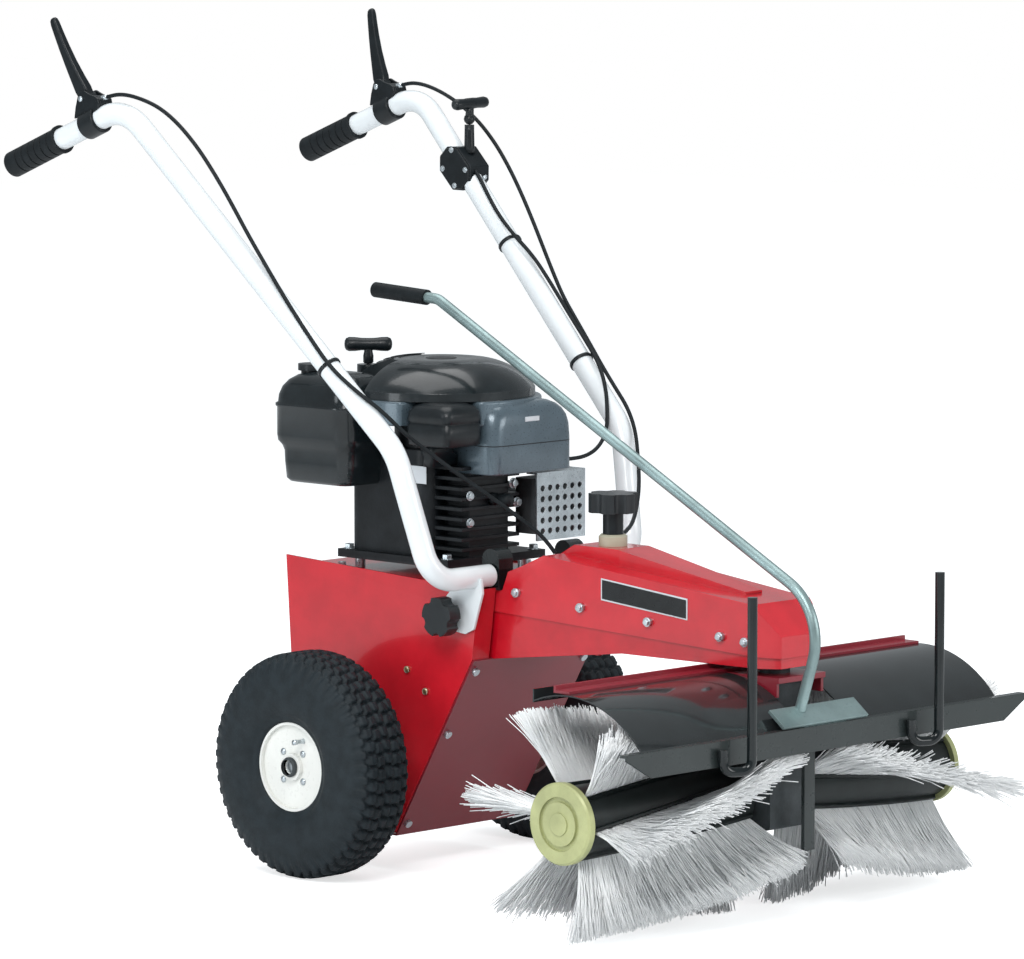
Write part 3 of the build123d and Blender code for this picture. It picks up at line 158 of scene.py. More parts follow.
# ---- Materials ----------------------------------------------------------------------------------
def surface(name, colour, rough=0.5, metal=0.0, coat=0.0, grain=60.0, tone=0.12, bump=0.1,
            rough_spread=0.12, edge=0.0, specks=0.0, speck_colour=(0.4, 0.4, 0.4), distance=0.0006,
            stretch=(1, 1, 1), sheen=0.0, specular=0.5, thin=0.0):
    """Painted, moulded or metal surface whose tone, roughness and bump vary by noise, with an optional
    painted highlight on sharp edges.
    """
    material = bpy.data.materials.new(name)
    material.use_nodes = True
    tree = material.node_tree
    nodes, links = tree.nodes, tree.links
    shader = nodes["Principled BSDF"]
    shader.inputs["Metallic"].default_value = metal
    shader.inputs["Coat Weight"].default_value = coat
    shader.inputs["Coat Roughness"].default_value = 0.06
    shader.inputs["Specular IOR Level"].default_value = specular
    shader.inputs["Sheen Weight"].default_value = sheen
    if thin:
        shader.inputs["Subsurface Weight"].default_value = thin
        shader.inputs["Subsurface Radius"].default_value = (0.006, 0.006, 0.006)
    coords = nodes.new("ShaderNodeTexCoord")
    mapping = nodes.new("ShaderNodeMapping")
    mapping.inputs["Scale"].default_value = stretch
    links.new(coords.outputs["Object"], mapping.inputs["Vector"])

    def noise(scale, detail, roughness=0.55):
        node = nodes.new("ShaderNodeTexNoise")
        node.inputs["Scale"].default_value = scale
        node.inputs["Detail"].default_value = detail
        node.inputs["Roughness"].default_value = roughness
        links.new(mapping.outputs["Vector"], node.inputs["Vector"])
        return node

    broad = noise(grain * 0.12, 4)
    fine = noise(grain, 6)
    dark = [channel * (1 - tone) for channel in colour]
    light = [min(1, channel * (1 + tone) + tone * 0.01) for channel in colour]
    ramp = nodes.new("ShaderNodeValToRGB")
    ramp.color_ramp.elements[0].position = 0.35
    ramp.color_ramp.elements[0].color = (*dark, 1)
    ramp.color_ramp.elements[1].position = 0.65
    ramp.color_ramp.elements[1].color = (*light, 1)
    links.new(broad.outputs["Fac"], ramp.inputs["Fac"])
    result = ramp.outputs["Color"]
    if specks:
        dots = noise(grain * 3.5, 2, 0.3)
        gate = nodes.new("ShaderNodeMapRange")
        gate.inputs["From Min"].default_value = 0.62
        gate.inputs["From Max"].default_value = 0.70
        gate.inputs["To Max"].default_value = specks
        links.new(dots.outputs["Fac"], gate.inputs["Value"])
        mixed = nodes.new("ShaderNodeMix")
        mixed.data_type = "RGBA"
        mixed.inputs[7].default_value = (*speck_colour, 1)
        links.new(gate.outputs["Result"], mixed.inputs[0])
        links.new(result, mixed.inputs[6])
        result = mixed.outputs[2]
    # Painted highlight: sharp convex edges get a lighter tint of the base colour, standing in for light
    # caught along the edges.
    if edge:
        edge_geometry = nodes.new("ShaderNodeNewGeometry")
        sharp = nodes.new("ShaderNodeMapRange")
        sharp.inputs["From Min"].default_value = 0.53
        sharp.inputs["From Max"].default_value = 0.62
        sharp.inputs["To Max"].default_value = edge
        links.new(edge_geometry.outputs["Pointiness"], sharp.inputs["Value"])
        edge_highlight = nodes.new("ShaderNodeMix")
        edge_highlight.data_type = "RGBA"
        edge_highlight.inputs[7].default_value = (*[min(1, channel * 1.5 + 0.05) for channel in colour], 1)
        links.new(sharp.outputs["Result"], edge_highlight.inputs[0])
        links.new(result, edge_highlight.inputs[6])
        result = edge_highlight.outputs[2]
    links.new(result, shader.inputs["Base Color"])
    spread = nodes.new("ShaderNodeMapRange")
    spread.inputs["To Min"].default_value = max(0.02, rough - rough_spread)
    spread.inputs["To Max"].default_value = min(1.0, rough + rough_spread)
    links.new(fine.outputs["Fac"], spread.inputs["Value"])
    links.new(spread.outputs["Result"], shader.inputs["Roughness"])
    relief = nodes.new("ShaderNodeBump")
    relief.inputs["Strength"].default_value = bump
    relief.inputs["Distance"].default_value = distance
    links.new(fine.outputs["Fac"], relief.inputs["Height"])
    soft = nodes.new("ShaderNodeBevel")
    soft.samples = 4
    soft.inputs["Radius"].default_value = 0.0012
    links.new(soft.outputs["Normal"], relief.inputs["Normal"])
    links.new(relief.outputs["Normal"], shader.inputs["Normal"])
    return material


RED = surface("red_enamel", (0.52, 0.002, 0.012), rough=0.24, coat=0.45, grain=180, tone=0.10, bump=0.05,
              rough_spread=0.05, edge=0.2)
# Painted shade: a darker copy of the red enamel, used on the front plate and head bracket where they face
# away from the light.
RED_PAINTED_SHADE = surface("red_enamel_painted_shade", (0.20, 0.001, 0.012), rough=0.32, coat=0.3, grain=60, tone=0.10,
                   bump=0.04, rough_spread=0.06, edge=0.2)
WHITE = surface("white_enamel", (0.80, 0.84, 0.86), rough=0.22, coat=0.5, grain=140, tone=0.025,
                bump=0.04, rough_spread=0.05, edge=0.1)
BLACK_GLOSS = surface("black_enamel", (0.003, 0.006, 0.007), rough=0.14, coat=0.35, grain=160, tone=0.3,
                      bump=0.03, rough_spread=0.05, edge=0.3, specular=0.25)
ENGINE_BLACK = surface("engine_black", (0.005, 0.007, 0.009), rough=0.42, grain=240, tone=0.3,
                       bump=0.3, specks=0.15, speck_colour=(0.02, 0.025, 0.03), edge=0.3, specular=0.3)
RAIL = surface("rail_enamel", (0.008, 0.014, 0.014), rough=0.3, coat=0.2, grain=60, tone=0.2, bump=0.05,
               edge=0.3, specular=0.35)
PLASTIC = surface("black_plastic", (0.004, 0.007, 0.009), rough=0.34, grain=420, tone=0.2, bump=0.3,
                  distance=0.0003, edge=0.3, specular=0.3)
SMOOTH_PLASTIC = surface("shroud_black", (0.006, 0.010, 0.012), rough=0.22, coat=0.25, grain=380, tone=0.2,
                         bump=0.1, distance=0.0003, edge=0.3, specular=0.35)
GREY = surface("shroud_grey", (0.085, 0.12, 0.145), rough=0.3, metal=0.3, coat=0.3, grain=260, tone=0.08,
               bump=0.1, distance=0.0003, edge=0.2)
RUBBER = surface("grip_rubber", (0.005, 0.008, 0.010), rough=0.55, grain=500, tone=0.2, bump=0.4,
                 distance=0.0004, specular=0.25)
TYRE = surface("tyre_rubber", (0.008, 0.014, 0.018), rough=0.6, grain=420, tone=0.2, bump=0.35,
               distance=0.0005, specks=0.25, speck_colour=(0.035, 0.045, 0.05), specular=0.3)
RIM = surface("rim_enamel", (0.80, 0.80, 0.76), rough=0.3, coat=0.3, grain=150, tone=0.04, bump=0.08,
              edge=0.1)
ZINC = surface("zinc_steel", (0.55, 0.60, 0.63), rough=0.3, metal=0.9, grain=260, tone=0.12, bump=0.15,
               specks=0.2, speck_colour=(0.4, 0.42, 0.44))
GALVANISED = surface("galvanised_steel", (0.26, 0.35, 0.35), rough=0.4, metal=0.7, grain=90, tone=0.22,
                     bump=0.2, specks=0.3, speck_colour=(0.16, 0.22, 0.22))
BRASS = surface("passivated_screw", (0.55, 0.42, 0.22), rough=0.32, metal=0.9, grain=300, tone=0.1)
CAST = surface("cast_grey", (0.05, 0.058, 0.062), rough=0.55, metal=0.2, grain=220, tone=0.25, bump=0.5,
               specks=0.2, speck_colour=(0.1, 0.11, 0.12), specular=0.3)
ALUMINIUM = surface("cast_aluminium", (0.45, 0.47, 0.49), rough=0.42, metal=0.8, grain=260, tone=0.12,
                    bump=0.5)
BRONZE = surface("bronze", (0.58, 0.38, 0.16), rough=0.35, metal=0.9, grain=260)
CARRIER = surface("brush_carrier", (0.004, 0.008, 0.008), rough=0.4, grain=300, tone=0.25, bump=0.15,
                  edge=0.2, specular=0.25)
RING = surface("ring_enamel", (0.42, 0.44, 0.21), rough=0.42, metal=0.1, grain=200, tone=0.12, bump=0.2,
               specks=0.25, speck_colour=(0.30, 0.31, 0.14))
CREAM = surface("cream_plastic", (0.42, 0.40, 0.30), rough=0.4, grain=200, tone=0.08, bump=0.15)
BRISTLE = surface("bristle_white", (0.95, 0.97, 0.98), rough=0.34, grain=350, tone=0.04, bump=0.1,
                  thin=0.45)
LABEL = surface("plain_label", (0.62, 0.65, 0.68), rough=0.35, grain=120, tone=0.05, bump=0.05)
PANEL = surface("panel_black", (0.004, 0.005, 0.006), rough=0.3, coat=0.2, grain=260, tone=0.3, bump=0.05,
                specular=0.3)
ROPE = surface("starter_rope", (0.45, 0.47, 0.48), rough=0.7, grain=900, tone=0.25, bump=0.8)
BELT = surface("belt_rubber", (0.010, 0.010, 0.011), rough=0.7, grain=600, tone=0.3, bump=0.5)

FINISH = {
    "side_plate_left": RED, "side_plate_right": RED, "front_plate": RED_PAINTED_SHADE, "engine_deck": RED,
    "chassis_bolts": ZINC, "boom_tray": RED, "boom_cover": RED, "handle_blocks": BLACK_GLOSS,
    "lock_ring": CREAM, "height_knob": PLASTIC, "brush_belt": BELT, "belt_idler": ZINC,
    "crankshaft": ZINC, "crank_pulley": ALUMINIUM, "engine_block": ENGINE_BLACK,
    "blower_housing": GREY, "starter_cover": SMOOTH_PLASTIC, "recoil_grip": PLASTIC,
    "fuel_tank": PLASTIC, "fuel_cap": PLASTIC, "air_filter_box": PLASTIC, "muffler": CAST,
    "muffler_guard": ZINC, "axle_shaft": ZINC, "transmission_case": ALUMINIUM, "rim_left": RIM,
    "rim_right": RIM, "handle_tube_left": WHITE, "handle_tube_right": WHITE, "grip_left": RUBBER,
    "grip_right": RUBBER, "lever_mount_left": PLASTIC, "lever_mount_right": PLASTIC,
    "drive_lever_left": PLASTIC, "drive_lever_right": PLASTIC, "throttle_box": PLASTIC,
    "throttle_lever": PLASTIC, "clamp_knob_left": PLASTIC, "clamp_knob_right": PLASTIC,
    "gearbox_case": CAST, "worm_shaft": ZINC, "brush_pulley": ALUMINIUM, "head_bracket": RED_PAINTED_SHADE,
    "hood_left": BLACK_GLOSS, "hood_right": BLACK_GLOSS, "front_rail": RAIL, "guard_rods": BLACK_GLOSS,
    "steering_rod": GALVANISED, "steering_grip": RUBBER, "brush_shaft": ZINC, "worm_wheel": BRONZE,
    "brush_tubes": CARRIER, "end_rings": RING,
}


def finish_nodes():
    for name, material in FINISH.items():
        mesh = NODES[name].data
        if not mesh.materials:
            mesh.materials.append(material)
        for index in range(len(mesh.materials)):
            mesh.materials[index] = material


# ---- Mesh helpers -------------------------------------------------------------------------------
def piece(name, vertices, faces, material, body, smooth=True):
    mesh = bpy.data.meshes.new(name)
    mesh.from_pydata([tuple(vertex) for vertex in vertices], [], faces)
    mesh.materials.append(material)
    mesh.polygons.foreach_set("use_smooth", [smooth] * len(mesh.polygons))
    mesh.update()
    thing = bpy.data.objects.new(name, mesh)
    bpy.context.scene.collection.objects.link(thing)
    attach(thing, body)
    return thing


def soften(thing, width=0.0008, segments=2, angle=35):
    bevel = thing.modifiers.new("bevel", "BEVEL")
    bevel.width = width
    bevel.segments = segments
    bevel.limit_method = "ANGLE"
    bevel.angle_limit = math.radians(angle)
    thing.data.polygons.foreach_set("use_smooth", [True] * len(thing.data.polygons))
    thing.modifiers.new("normals", "WEIGHTED_NORMAL")


def lathe(profile, steps, origin, axis, start=None):
    """Surface of revolution of (radius, height) points round an axis."""
    axis = Vector(axis).normalized()
    side = Vector(start).normalized() if start else axis.orthogonal().normalized()
    across = axis.cross(side)
    vertices, faces = [], []
    for step in range(steps):
        turn = 2 * math.pi * step / steps
        spoke = side * math.cos(turn) + across * math.sin(turn)
        for radius, height in profile:
            vertices.append(Vector(origin) + spoke * radius + axis * height)
    count = len(profile)
    for step in range(steps):
        after = (step + 1) % steps
        for index in range(count - 1):
            faces.append((step * count + index, after * count + index, after * count + index + 1,
                          step * count + index + 1))
    return vertices, faces


def merge(parts):
    vertices, faces = [], []
    for some_vertices, some_faces in parts:
        start = len(vertices)
        vertices += list(some_vertices)
        faces += [tuple(index + start for index in face) for face in some_faces]
    return vertices, faces


def prism(outline, low, high, to_space):
    """Closed prism of a 2-D outline; to_space(a, b, c) gives the point in the frame."""
    count = len(outline)
    vertices = [to_space(a, b, low) for a, b in outline] + [to_space(a, b, high) for a, b in outline]
    faces = [tuple(range(count))[::-1], tuple(range(count, 2 * count))]
    for index in range(count):
        after = (index + 1) % count
        faces.append((index, after, after + count, index + count))
    return vertices, faces


# ---- Cables -------------------------------------------------------------------------------------
CABLE_RADIUS = 0.003
CABLE_RIGHT = [(-311, 381, 1135.5), (-311, 356, 1143), (-311, 326, 1145), (-310, 291, 1139),
               (-305, 257, 1127), (-300, 222, 1104), (-294, 186, 1069), (-288, 154, 1028),
               (-283, 126, 988), (-279, 99, 948), (-276, 71, 911), (-275.6, 39.6, 874.3),
               (-277.3, 7.4, 840.6), (-276, -30, 800), (-274.7, -71, 758.9), (-262.3, -111.7, 726),
               (-239.8, -140.8, 698.6), (-218, -163, 667), (-191, -182, 641), (-163, -201, 615),
               (-133, -223, 588), (-103, -246, 561), (-74, -268, 534), (-51, -289, 508), (-43, -301, 487)]
CABLE_LEFT = [(311, 381, 1135.5), (312, 356, 1143), (315, 328, 1143), (322, 296, 1133),
              (330, 260, 1114), (335, 222, 1087), (334, 184, 1053), (328, 148, 1016), (320, 114, 977),
              (311, 82, 938), (302, 52, 900), (293, 23, 864), (285, -6, 829), (279, -38, 797),
              (273, -72, 763), (268, -104, 729), (262.1, -136.2, 698.9), (255.7, -168, 671),
              (244.6, -194.3, 638.3), (229, -214, 600), (208, -236, 562), (178, -258, 531),
              (140, -284, 513), (98, -310, 508), (63, -327, 501), (49, -333, 488.8)]
CABLE_THROTTLE = [(288, 183.3, 1013.6), (286, 169.3, 999.4), (279, 150, 981), (271.6, 120.6, 952),
                  (266.8, 85.3, 923.3), (273.9, 46.5, 889.3), (277.5, 10.6, 846.5), (273, -30, 804),
                  (265.8, -73.7, 763.9), (252.4, -113.5, 731.9), (235, -142.2, 699.2),
                  (221.2, -158.2, 667.3), (215.2, -162, 636.1), (194, -164, 614), (164, -166, 604),
                  (136, -160, 602), (122.9, -158, 602)]


def add_cable(name, points):
    """Sleeve of a control cable on one smooth line, which bends between handle half and chassis."""
    line = bpy.data.curves.new(name, "CURVE")
    line.dimensions = "3D"
    line.bevel_depth = CABLE_RADIUS
    line.bevel_resolution = 4
    line.resolution_u = 10
    line.use_fill_caps = True
    spline = line.splines.new("NURBS")
    spline.points.add(len(points) - 1)
    for point, knot in zip(spline.points, points):
        point.co = (*place(*knot), 1)
    spline.order_u = 3
    spline.use_endpoint_u = True
    curve = bpy.data.objects.new(name + "_line", line)
    bpy.context.scene.collection.objects.link(curve)
    mesh = bpy.data.meshes.new_from_object(curve)
    bpy.data.objects.remove(curve)
    mesh.materials.clear()
    mesh.materials.append(RUBBER)
    mesh.polygons.foreach_set("use_smooth", [True] * len(mesh.polygons))
    sleeve = bpy.data.objects.new(name + "_sleeve", mesh)
    bpy.context.scene.collection.objects.link(sleeve)
    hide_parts(name)
    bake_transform(sleeve)


# ---- Brush --------------------------------------------------------------------------------------
ROWS = 6
ROW_PHASE = math.radians(30)
ROW_TWIST = math.radians(40)
TUFTS = 44
PER_TUFT = 26


def add_bristles(side, node):
    """Tufts of separate bristles in rows that turn slowly along the carrier tube."""
    rng = random.Random(7 if side > 0 else 11)
    low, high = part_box(node)
    tube_low, tube_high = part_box("brush_tubes")
    axis_y = (tube_low[1] + tube_high[1]) / 2
    axis_z = (tube_low[2] + tube_high[2]) / 2
    root = (tube_high[2] - tube_low[2]) / 2 - 0.002
    reach = (high[2] - low[2]) / 2
    ends = sorted((abs(low[0]), abs(high[0])))
    vertices, faces = [], []
    for row in range(ROWS):
        for tuft in range(TUFTS):
            share = (tuft + 0.5) / TUFTS
            tuft_x = ends[0] + share * (ends[1] - ends[0])
            turn = 2 * math.pi * row / ROWS + ROW_PHASE + ROW_TWIST * share
            flare = FLARE_INNER + (FLARE_OUTER - FLARE_INNER) * share ** 3
            lean = rng.uniform(-0.02, 0.02)
            for _ in range(PER_TUFT):
                angle = turn + rng.gauss(0, 0.016)
                spread = rng.gauss(0, 0.055) + lean
                sideways = flare + rng.gauss(0, 0.004)
                length = reach * rng.uniform(0.955, 0.998)
                start_x = tuft_x + rng.uniform(-0.0032, 0.0032)
                wave = rng.uniform(-0.0015, 0.0015)
                phase = rng.uniform(0, 2 * math.pi)
                base = len(vertices)
                stations = 4
                for station in range(stations + 1):
                    along = station / stations
                    radius = root + (length - root) * along
                    curl = angle + spread * along ** 1.4
                    width = BRISTLE_RADIUS * (1 - 0.35 * along)
                    x = start_x + sideways * along ** 1.3 + wave * math.sin(phase + 9 * along)
                    x = min(x, FLARE_LIMIT)
                    for corner in range(3):
                        bend = 2 * math.pi * corner / 3
                        swing = curl + width * math.cos(bend) / radius
                        vertices.append(Vector((side * (x + width * math.sin(bend)),
                                                axis_y + radius * math.cos(swing),
                                                axis_z + radius * math.sin(swing))))
                for station in range(stations):
                    for corner in range(3):
                        after = (corner + 1) % 3
                        a = base + station * 3
                        faces.append((a + corner, a + after, a + 3 + after, a + 3 + corner)[::side])
                faces.append((base + stations * 3, base + stations * 3 + 1,
                              base + stations * 3 + 2)[::side])
    brush = piece("bristle_rows_" + ("left" if side > 0 else "right"), vertices, faces, BRISTLE, "brush")
    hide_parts(node)


BRISTLE_RADIUS = 0.00115
FLARE_INNER = -0.012
FLARE_OUTER = 0.046
FLARE_LIMIT = 0.424


def add_carrier_bands():
    """Clamping channels along the carrier, one at the foot of each bristle row."""
    low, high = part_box("brush_tubes")
    axis_y, axis_z = (low[1] + high[1]) / 2, (low[2] + high[2]) / 2
    radius = (high[2] - low[2]) / 2
    steps = 24
    parts = []
    for side in (-1, 1):
        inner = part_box("bristles_left")[0][0]
        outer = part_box("bristles_left")[1][0]
        for row in range(ROWS):
            for edge in (-1, 1):
                vertices, faces = [], []
                for step in range(steps + 1):
                    share = step / steps
                    x = side * (inner - 0.004 + share * (outer - inner + 0.008))
                    turn = 2 * math.pi * row / ROWS + ROW_PHASE + ROW_TWIST * share
                    for offset, rise in ((0.06, -0.001), (0.06, 0.006), (0.13, 0.005), (0.15, -0.001)):
                        swing = turn + edge * offset
                        reach = radius + rise
                        vertices.append(Vector((x, axis_y + reach * math.cos(swing),
                                                axis_z + reach * math.sin(swing))))
                for step in range(steps):
                    a = step * 4
                    faces += [(a + k, a + k + 1, a + k + 5, a + k + 4) for k in range(3)]
                parts.append((vertices, faces))
    vertices, faces = merge(parts)
    piece("carrier_channels", vertices, faces, CARRIER, "brush", smooth=False)


# ---- Wheels -------------------------------------------------------------------------------------
def tyre_radius(across, half, outer):
    """Radius of the tyre's outside at a distance from its middle plane."""
    table = [(0, 1.0), (0.42, 0.9985), (0.60, 0.985), (0.75, 0.953), (0.89, 0.87), (1.0, 0.705)]
    share = min(abs(across) / half, 1.0)
    for (a, ra), (b, rb) in zip(table, table[1:]):
        if share <= b:
            t = (share - a) / (b - a)
            t = t * t * (3 - 2 * t) if a > 0.4 else t
            return outer * (ra + (rb - ra) * t)
    return outer * table[-1][1]


def add_tyre(side, node, body):
    """Turf tyre with staggered tread blocks and ribbed shoulders."""
    low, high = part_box(node)
    middle = (low[0] + high[0]) / 2
    half = (high[0] - low[0]) / 2 - 0.0002
    outer = (high[2] - low[2]) / 2
    centre_y = (low[1] + high[1]) / 2
    centre_z = (low[2] + high[2]) / 2
    steps = 52 * 14
    rows = []
    crown = 46
    for index in range(crown + 1):
        across = -0.97 + 1.94 * index / crown
        rows.append((across * half, tyre_radius(across * half, half, outer), 1))
    wall = [(1.0, 0.66), (1.0, 0.60), (0.985, 0.55), (0.95, 0.50), (0.90, 0.468), (0.86, 0.455),
            (0.83, 0.430), (0.80, 0.405), (0.74, 0.396)]
    outside = [(across * half, share * outer, 0) for across, share in wall]
    inside = [(-across, radius, flag) for across, radius, flag in reversed(outside)]
    rows = inside + rows + outside
    vertices = []
    for step in range(steps):
        turn = 2 * math.pi * step / steps
        for across, radius, tread in rows:
            r = radius
            if tread:
                r -= tread_depth(turn, across, half)
            vertices.append(Vector((middle + across, centre_y + r * math.cos(turn),
                                    centre_z + r * math.sin(turn))))
    count = len(rows)
    faces = []
    for step in range(steps):
        after = (step + 1) % steps
        for index in range(count - 1):
            faces.append((step * count + index, after * count + index, after * count + index + 1,
                          step * count + index + 1))
    tyre = piece("turf_" + node, vertices, faces, TYRE, body)
    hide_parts(node)
    add_valve(side, body, centre_y, centre_z)


def tread_depth(turn, across, half):
    """Depth below the block tops: rows of staggered blocks, then ribs on the shoulders."""
    share = across / half
    rows = 5
    lane = (share + 0.70) / 1.40 * rows
    blocks = 52
    depth = 0.0065
    if 0 <= lane < rows:
        index = int(lane)
        inside = lane - index
        slant = 0.22 * math.sin(math.pi * inside) * (1 if index % 2 else -1)
        position = (turn / (2 * math.pi) * blocks + 0.5 * (index % 2) + slant) % 1.0
        return depth * (1 - smooth_box(inside, 0.10, 0.90, 0.06) * smooth_box(position, 0.14, 0.86, 0.08))
    position = (turn / (2 * math.pi) * blocks + 0.25) % 1.0
    rib = smooth_box(position, 0.22, 0.78, 0.12)
    fade = max(0.0, 1 - (abs(share) - 0.70) / 0.27)
    return 0.0055 * (1 - rib) * fade


def smooth_box(value, low, high, ramp):
    rise = min(max((value - low) / ramp + 0.5, 0), 1)
    fall = min(max((high - value) / ramp + 0.5, 0), 1)
    return rise * fall


def add_valve(side, body, centre_y, centre_z):
    """Valve stem in the rim, hub boss and three wheel screws."""
    rim_low, rim_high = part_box("rim_left" if side > 0 else "rim_right")
    face = side * (max(abs(rim_low[0]), abs(rim_high[0])) - 0.008)
    parts = []
    stem = [(0.0, -0.012), (0.0042, -0.012), (0.0042, 0.002), (0.0032, 0.004), (0.0032, 0.016),
            (0.0040, 0.016), (0.0040, 0.022), (0.0, 0.023)]
    turn = math.radians(118)
    spot = Vector((face, centre_y + 0.045 * math.cos(turn), centre_z + 0.045 * math.sin(turn)))
    parts.append(lathe(stem, 20, spot, (side, 0, 0)))
    screw = [(0.0, 0.0), (0.0052, 0.0), (0.0052, 0.003), (0.0040, 0.0042), (0.0, 0.0044)]
    for index in range(4):
        turn = math.radians(45 + 90 * index)
        spot = Vector((face, centre_y + 0.029 * math.cos(turn), centre_z + 0.029 * math.sin(turn)))
        parts.append(lathe(screw, 24, spot, (side, 0, 0)))
    vertices, faces = merge(parts)
    piece("wheel_screws_" + ("left" if side > 0 else "right"), vertices, faces, ZINC, body)
    cap = [(0.0105, 0.0), (0.0145, 0.0), (0.0150, 0.003), (0.0130, 0.007), (0.0112, 0.0075)]
    hub_face = side * max(abs(rim_low[0]), abs(rim_high[0]))
    vertices, faces = lathe(cap, 40, Vector((hub_face, centre_y, centre_z)), (side, 0, 0))
    piece("hub_washer_" + ("left" if side > 0 else "right"), vertices, faces, CAST, body)


# ---- Small fittings -----------------------------------------------------------------------------
def hex_bolt(centre, axis, across_flats, height):
    """Bolt head with a washer face, a chamfered crown and a flat washer under it."""
    axis = Vector(axis).normalized()
    radius = across_flats / math.sqrt(3)
    washer = lathe([(0.0, 0.0), (across_flats * 0.72, 0.0), (across_flats * 0.72, 0.0011), (0.0, 0.0012)],
                   32, centre, axis)
    side = axis.orthogonal().normalized()
    across = axis.cross(side)
    levels = [(0.93, 0.0012), (1.0, 0.0018), (1.0, height - 0.0008), (0.90, height), (0.55, height + 0.0001)]
    vertices, faces = [], []
    for scale, level in levels:
        for corner in range(6):
            turn = math.pi * corner / 3
            vertices.append(Vector(centre) + (side * math.cos(turn) + across * math.sin(turn)) * radius
                            * scale
                            + axis * level)
    for ring in range(len(levels) - 1):
        for corner in range(6):
            after = (corner + 1) % 6
            faces.append((ring * 6 + corner, ring * 6 + after, ring * 6 + 6 + after, ring * 6 + 6 + corner))
    faces.append(tuple(range((len(levels) - 1) * 6, len(levels) * 6)))
    return merge([washer, (vertices, faces)])


def add_label_panel():
    """Plain black panel with a thin bright rim on each side of the boom cover."""
    for side in (-1, 1):
        outline = [(-424, 464), (-584, 447), (-584, 416), (-424, 432)]
        parts = []
        for shrink, low, high, material, name in ((0, 0.2, 0.9, LABEL, "panel_rim"),
                                                  (2.2, 0.9, 1.3, PANEL, "panel_face")):
            centre_y = sum(y for y, _ in outline) / 4
            centre_z = sum(z for _, z in outline) / 4
            points = []
            for y, z in outline:
                points.append((y - math.copysign(shrink, y - centre_y),
                               z - math.copysign(shrink, z - centre_z)))

            def to_space(y, z, lift, side=side):
                x = cover_half(y) + lift
                return place(side * x, y, z)

            vertices, faces = prism(points, low, high, to_space)
            suffix = "_left" if side > 0 else "_right"
            plate = piece(name + suffix, vertices, faces, material, "chassis", smooth=False)
            soften(plate, 0.0003, 2)
            parts.append(plate)


def cover_half(y):
    """Half width of the boom cover's side at a place along the boom."""
    tray_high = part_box("boom_tray")[1]
    cover_lip, nose_taper = 3.2, 28
    taper_start_y, taper_length = -214, 494.3
    rear = tray_high[0] * 1000 + cover_lip
    nose = rear - nose_taper
    share = min(max((taper_start_y - y) / taper_length, 0), 1)
    return rear + share * (nose - rear)


def add_body_screws():
    """Hex heads over the plain bolt heads of the frame and brass screws on the side plates."""
    plate_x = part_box("side_plate_left")[1][0]
    brass = []
    for side in (-1, 1):
        for y, z in ((-82, 304), (-120, 275)):
            spot = place(0, y, z)
            spot.x = side * (plate_x + 0.0035)
            head = [(0.0, -0.0034), (0.0052, -0.0034), (0.0052, -0.0006), (0.0040, 0.0004), (0.0016, 0.0008),
                    (0.0, 0.0001)]
            brass.append(lathe(head, 28, spot, (side, 0, 0)))
    vertices, faces = merge(brass)
    piece("side_screws", vertices, faces, BRASS, "chassis")
    bolts = []
    for side in (-1, 1):
        for y, z in ((-265, 430), (-387, 418), (-513, 408), (-645, 398), (-690, 394)):
            spot = place(0, y, z)
            spot.x = side * (cover_half(y) + 4.7) / 1000
            bolts.append(hex_bolt(spot, (side, -0.057, 0), 0.0095, 0.0045))
    vertices, faces = merge(bolts)
    heads = piece("cover_screws", vertices, faces, ZINC, "chassis", smooth=False)
    soften(heads, 0.0003, 2)


def add_cable_clips():
    """Ties that hold the cables on the handle tubes."""
    for name, side, height, body in (("tie_right", -1, 757, "handle_right"),
                                     ("tie_left", 1, 735, "handle_left"),
                                     ("tie_left_top", 1, 905, "handle_left")):
        share = (1127 - height) / 487
        axis = (place(side * 241, -170, 640) - place(side * 311, 327, 1127)).normalized()
        centre = place(side * (311 - share * 70), 327 - share * 497, height)
        profile = [(0.0168, -0.0028), (0.0186, -0.0028), (0.0190, -0.0018), (0.0190, 0.0018),
                   (0.0186, 0.0028), (0.0168, 0.0028)]
        vertices, faces = lathe(profile, 48, centre, axis)
        piece(name, vertices, faces, PLASTIC, body)


def add_starter_rope():
    """Short length of starter rope between the guide and the grip, with its laid strands."""
    low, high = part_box("recoil_grip")
    centre_x, centre_y = (low[0] + high[0]) / 2, (low[1] + high[1]) / 2
    bottom = low[2] - 0.004
    top = low[2] + 0.02
    steps, levels = 18, 14
    vertices, faces = [], []
    for level in range(levels + 1):
        z = bottom + (top - bottom) * level / levels
        for step in range(steps):
            turn = 2 * math.pi * step / steps
            radius = 0.0024 + 0.0004 * math.cos(3 * turn + level * 1.1)
            vertices.append(Vector((centre_x + radius * math.cos(turn),
                                    centre_y + radius * math.sin(turn), z)))
    for level in range(levels):
        for step in range(steps):
            after = (step + 1) % steps
            faces.append((level * steps + step, level * steps + after, (level + 1) * steps + after,
                          (level + 1) * steps + step))
    mesh = bpy.data.meshes.new("starter_rope")
    mesh.from_pydata([tuple(vertex) for vertex in vertices], [], faces)
    mesh.materials.append(ROPE)
    rope = bpy.data.objects.new("starter_rope", mesh)
    bpy.context.scene.collection.objects.link(rope)
    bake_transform(rope)


# ---- Controls -----------------------------------------------------------------------------------
def rounded_rectangle(half_u, half_v, radius, steps=6):
    """Points round a rectangle with rounded corners, centred on the origin."""
    points = []
    for turn, su, sv in ((0, 1, 1), (90, -1, 1), (180, -1, -1), (270, 1, -1)):
        for step in range(steps + 1):
            angle = math.radians(turn + 90 * step / steps)
            points.append((su * (half_u - radius) + radius * math.cos(angle),
                           sv * (half_v - radius) + radius * math.sin(angle)))
    return points


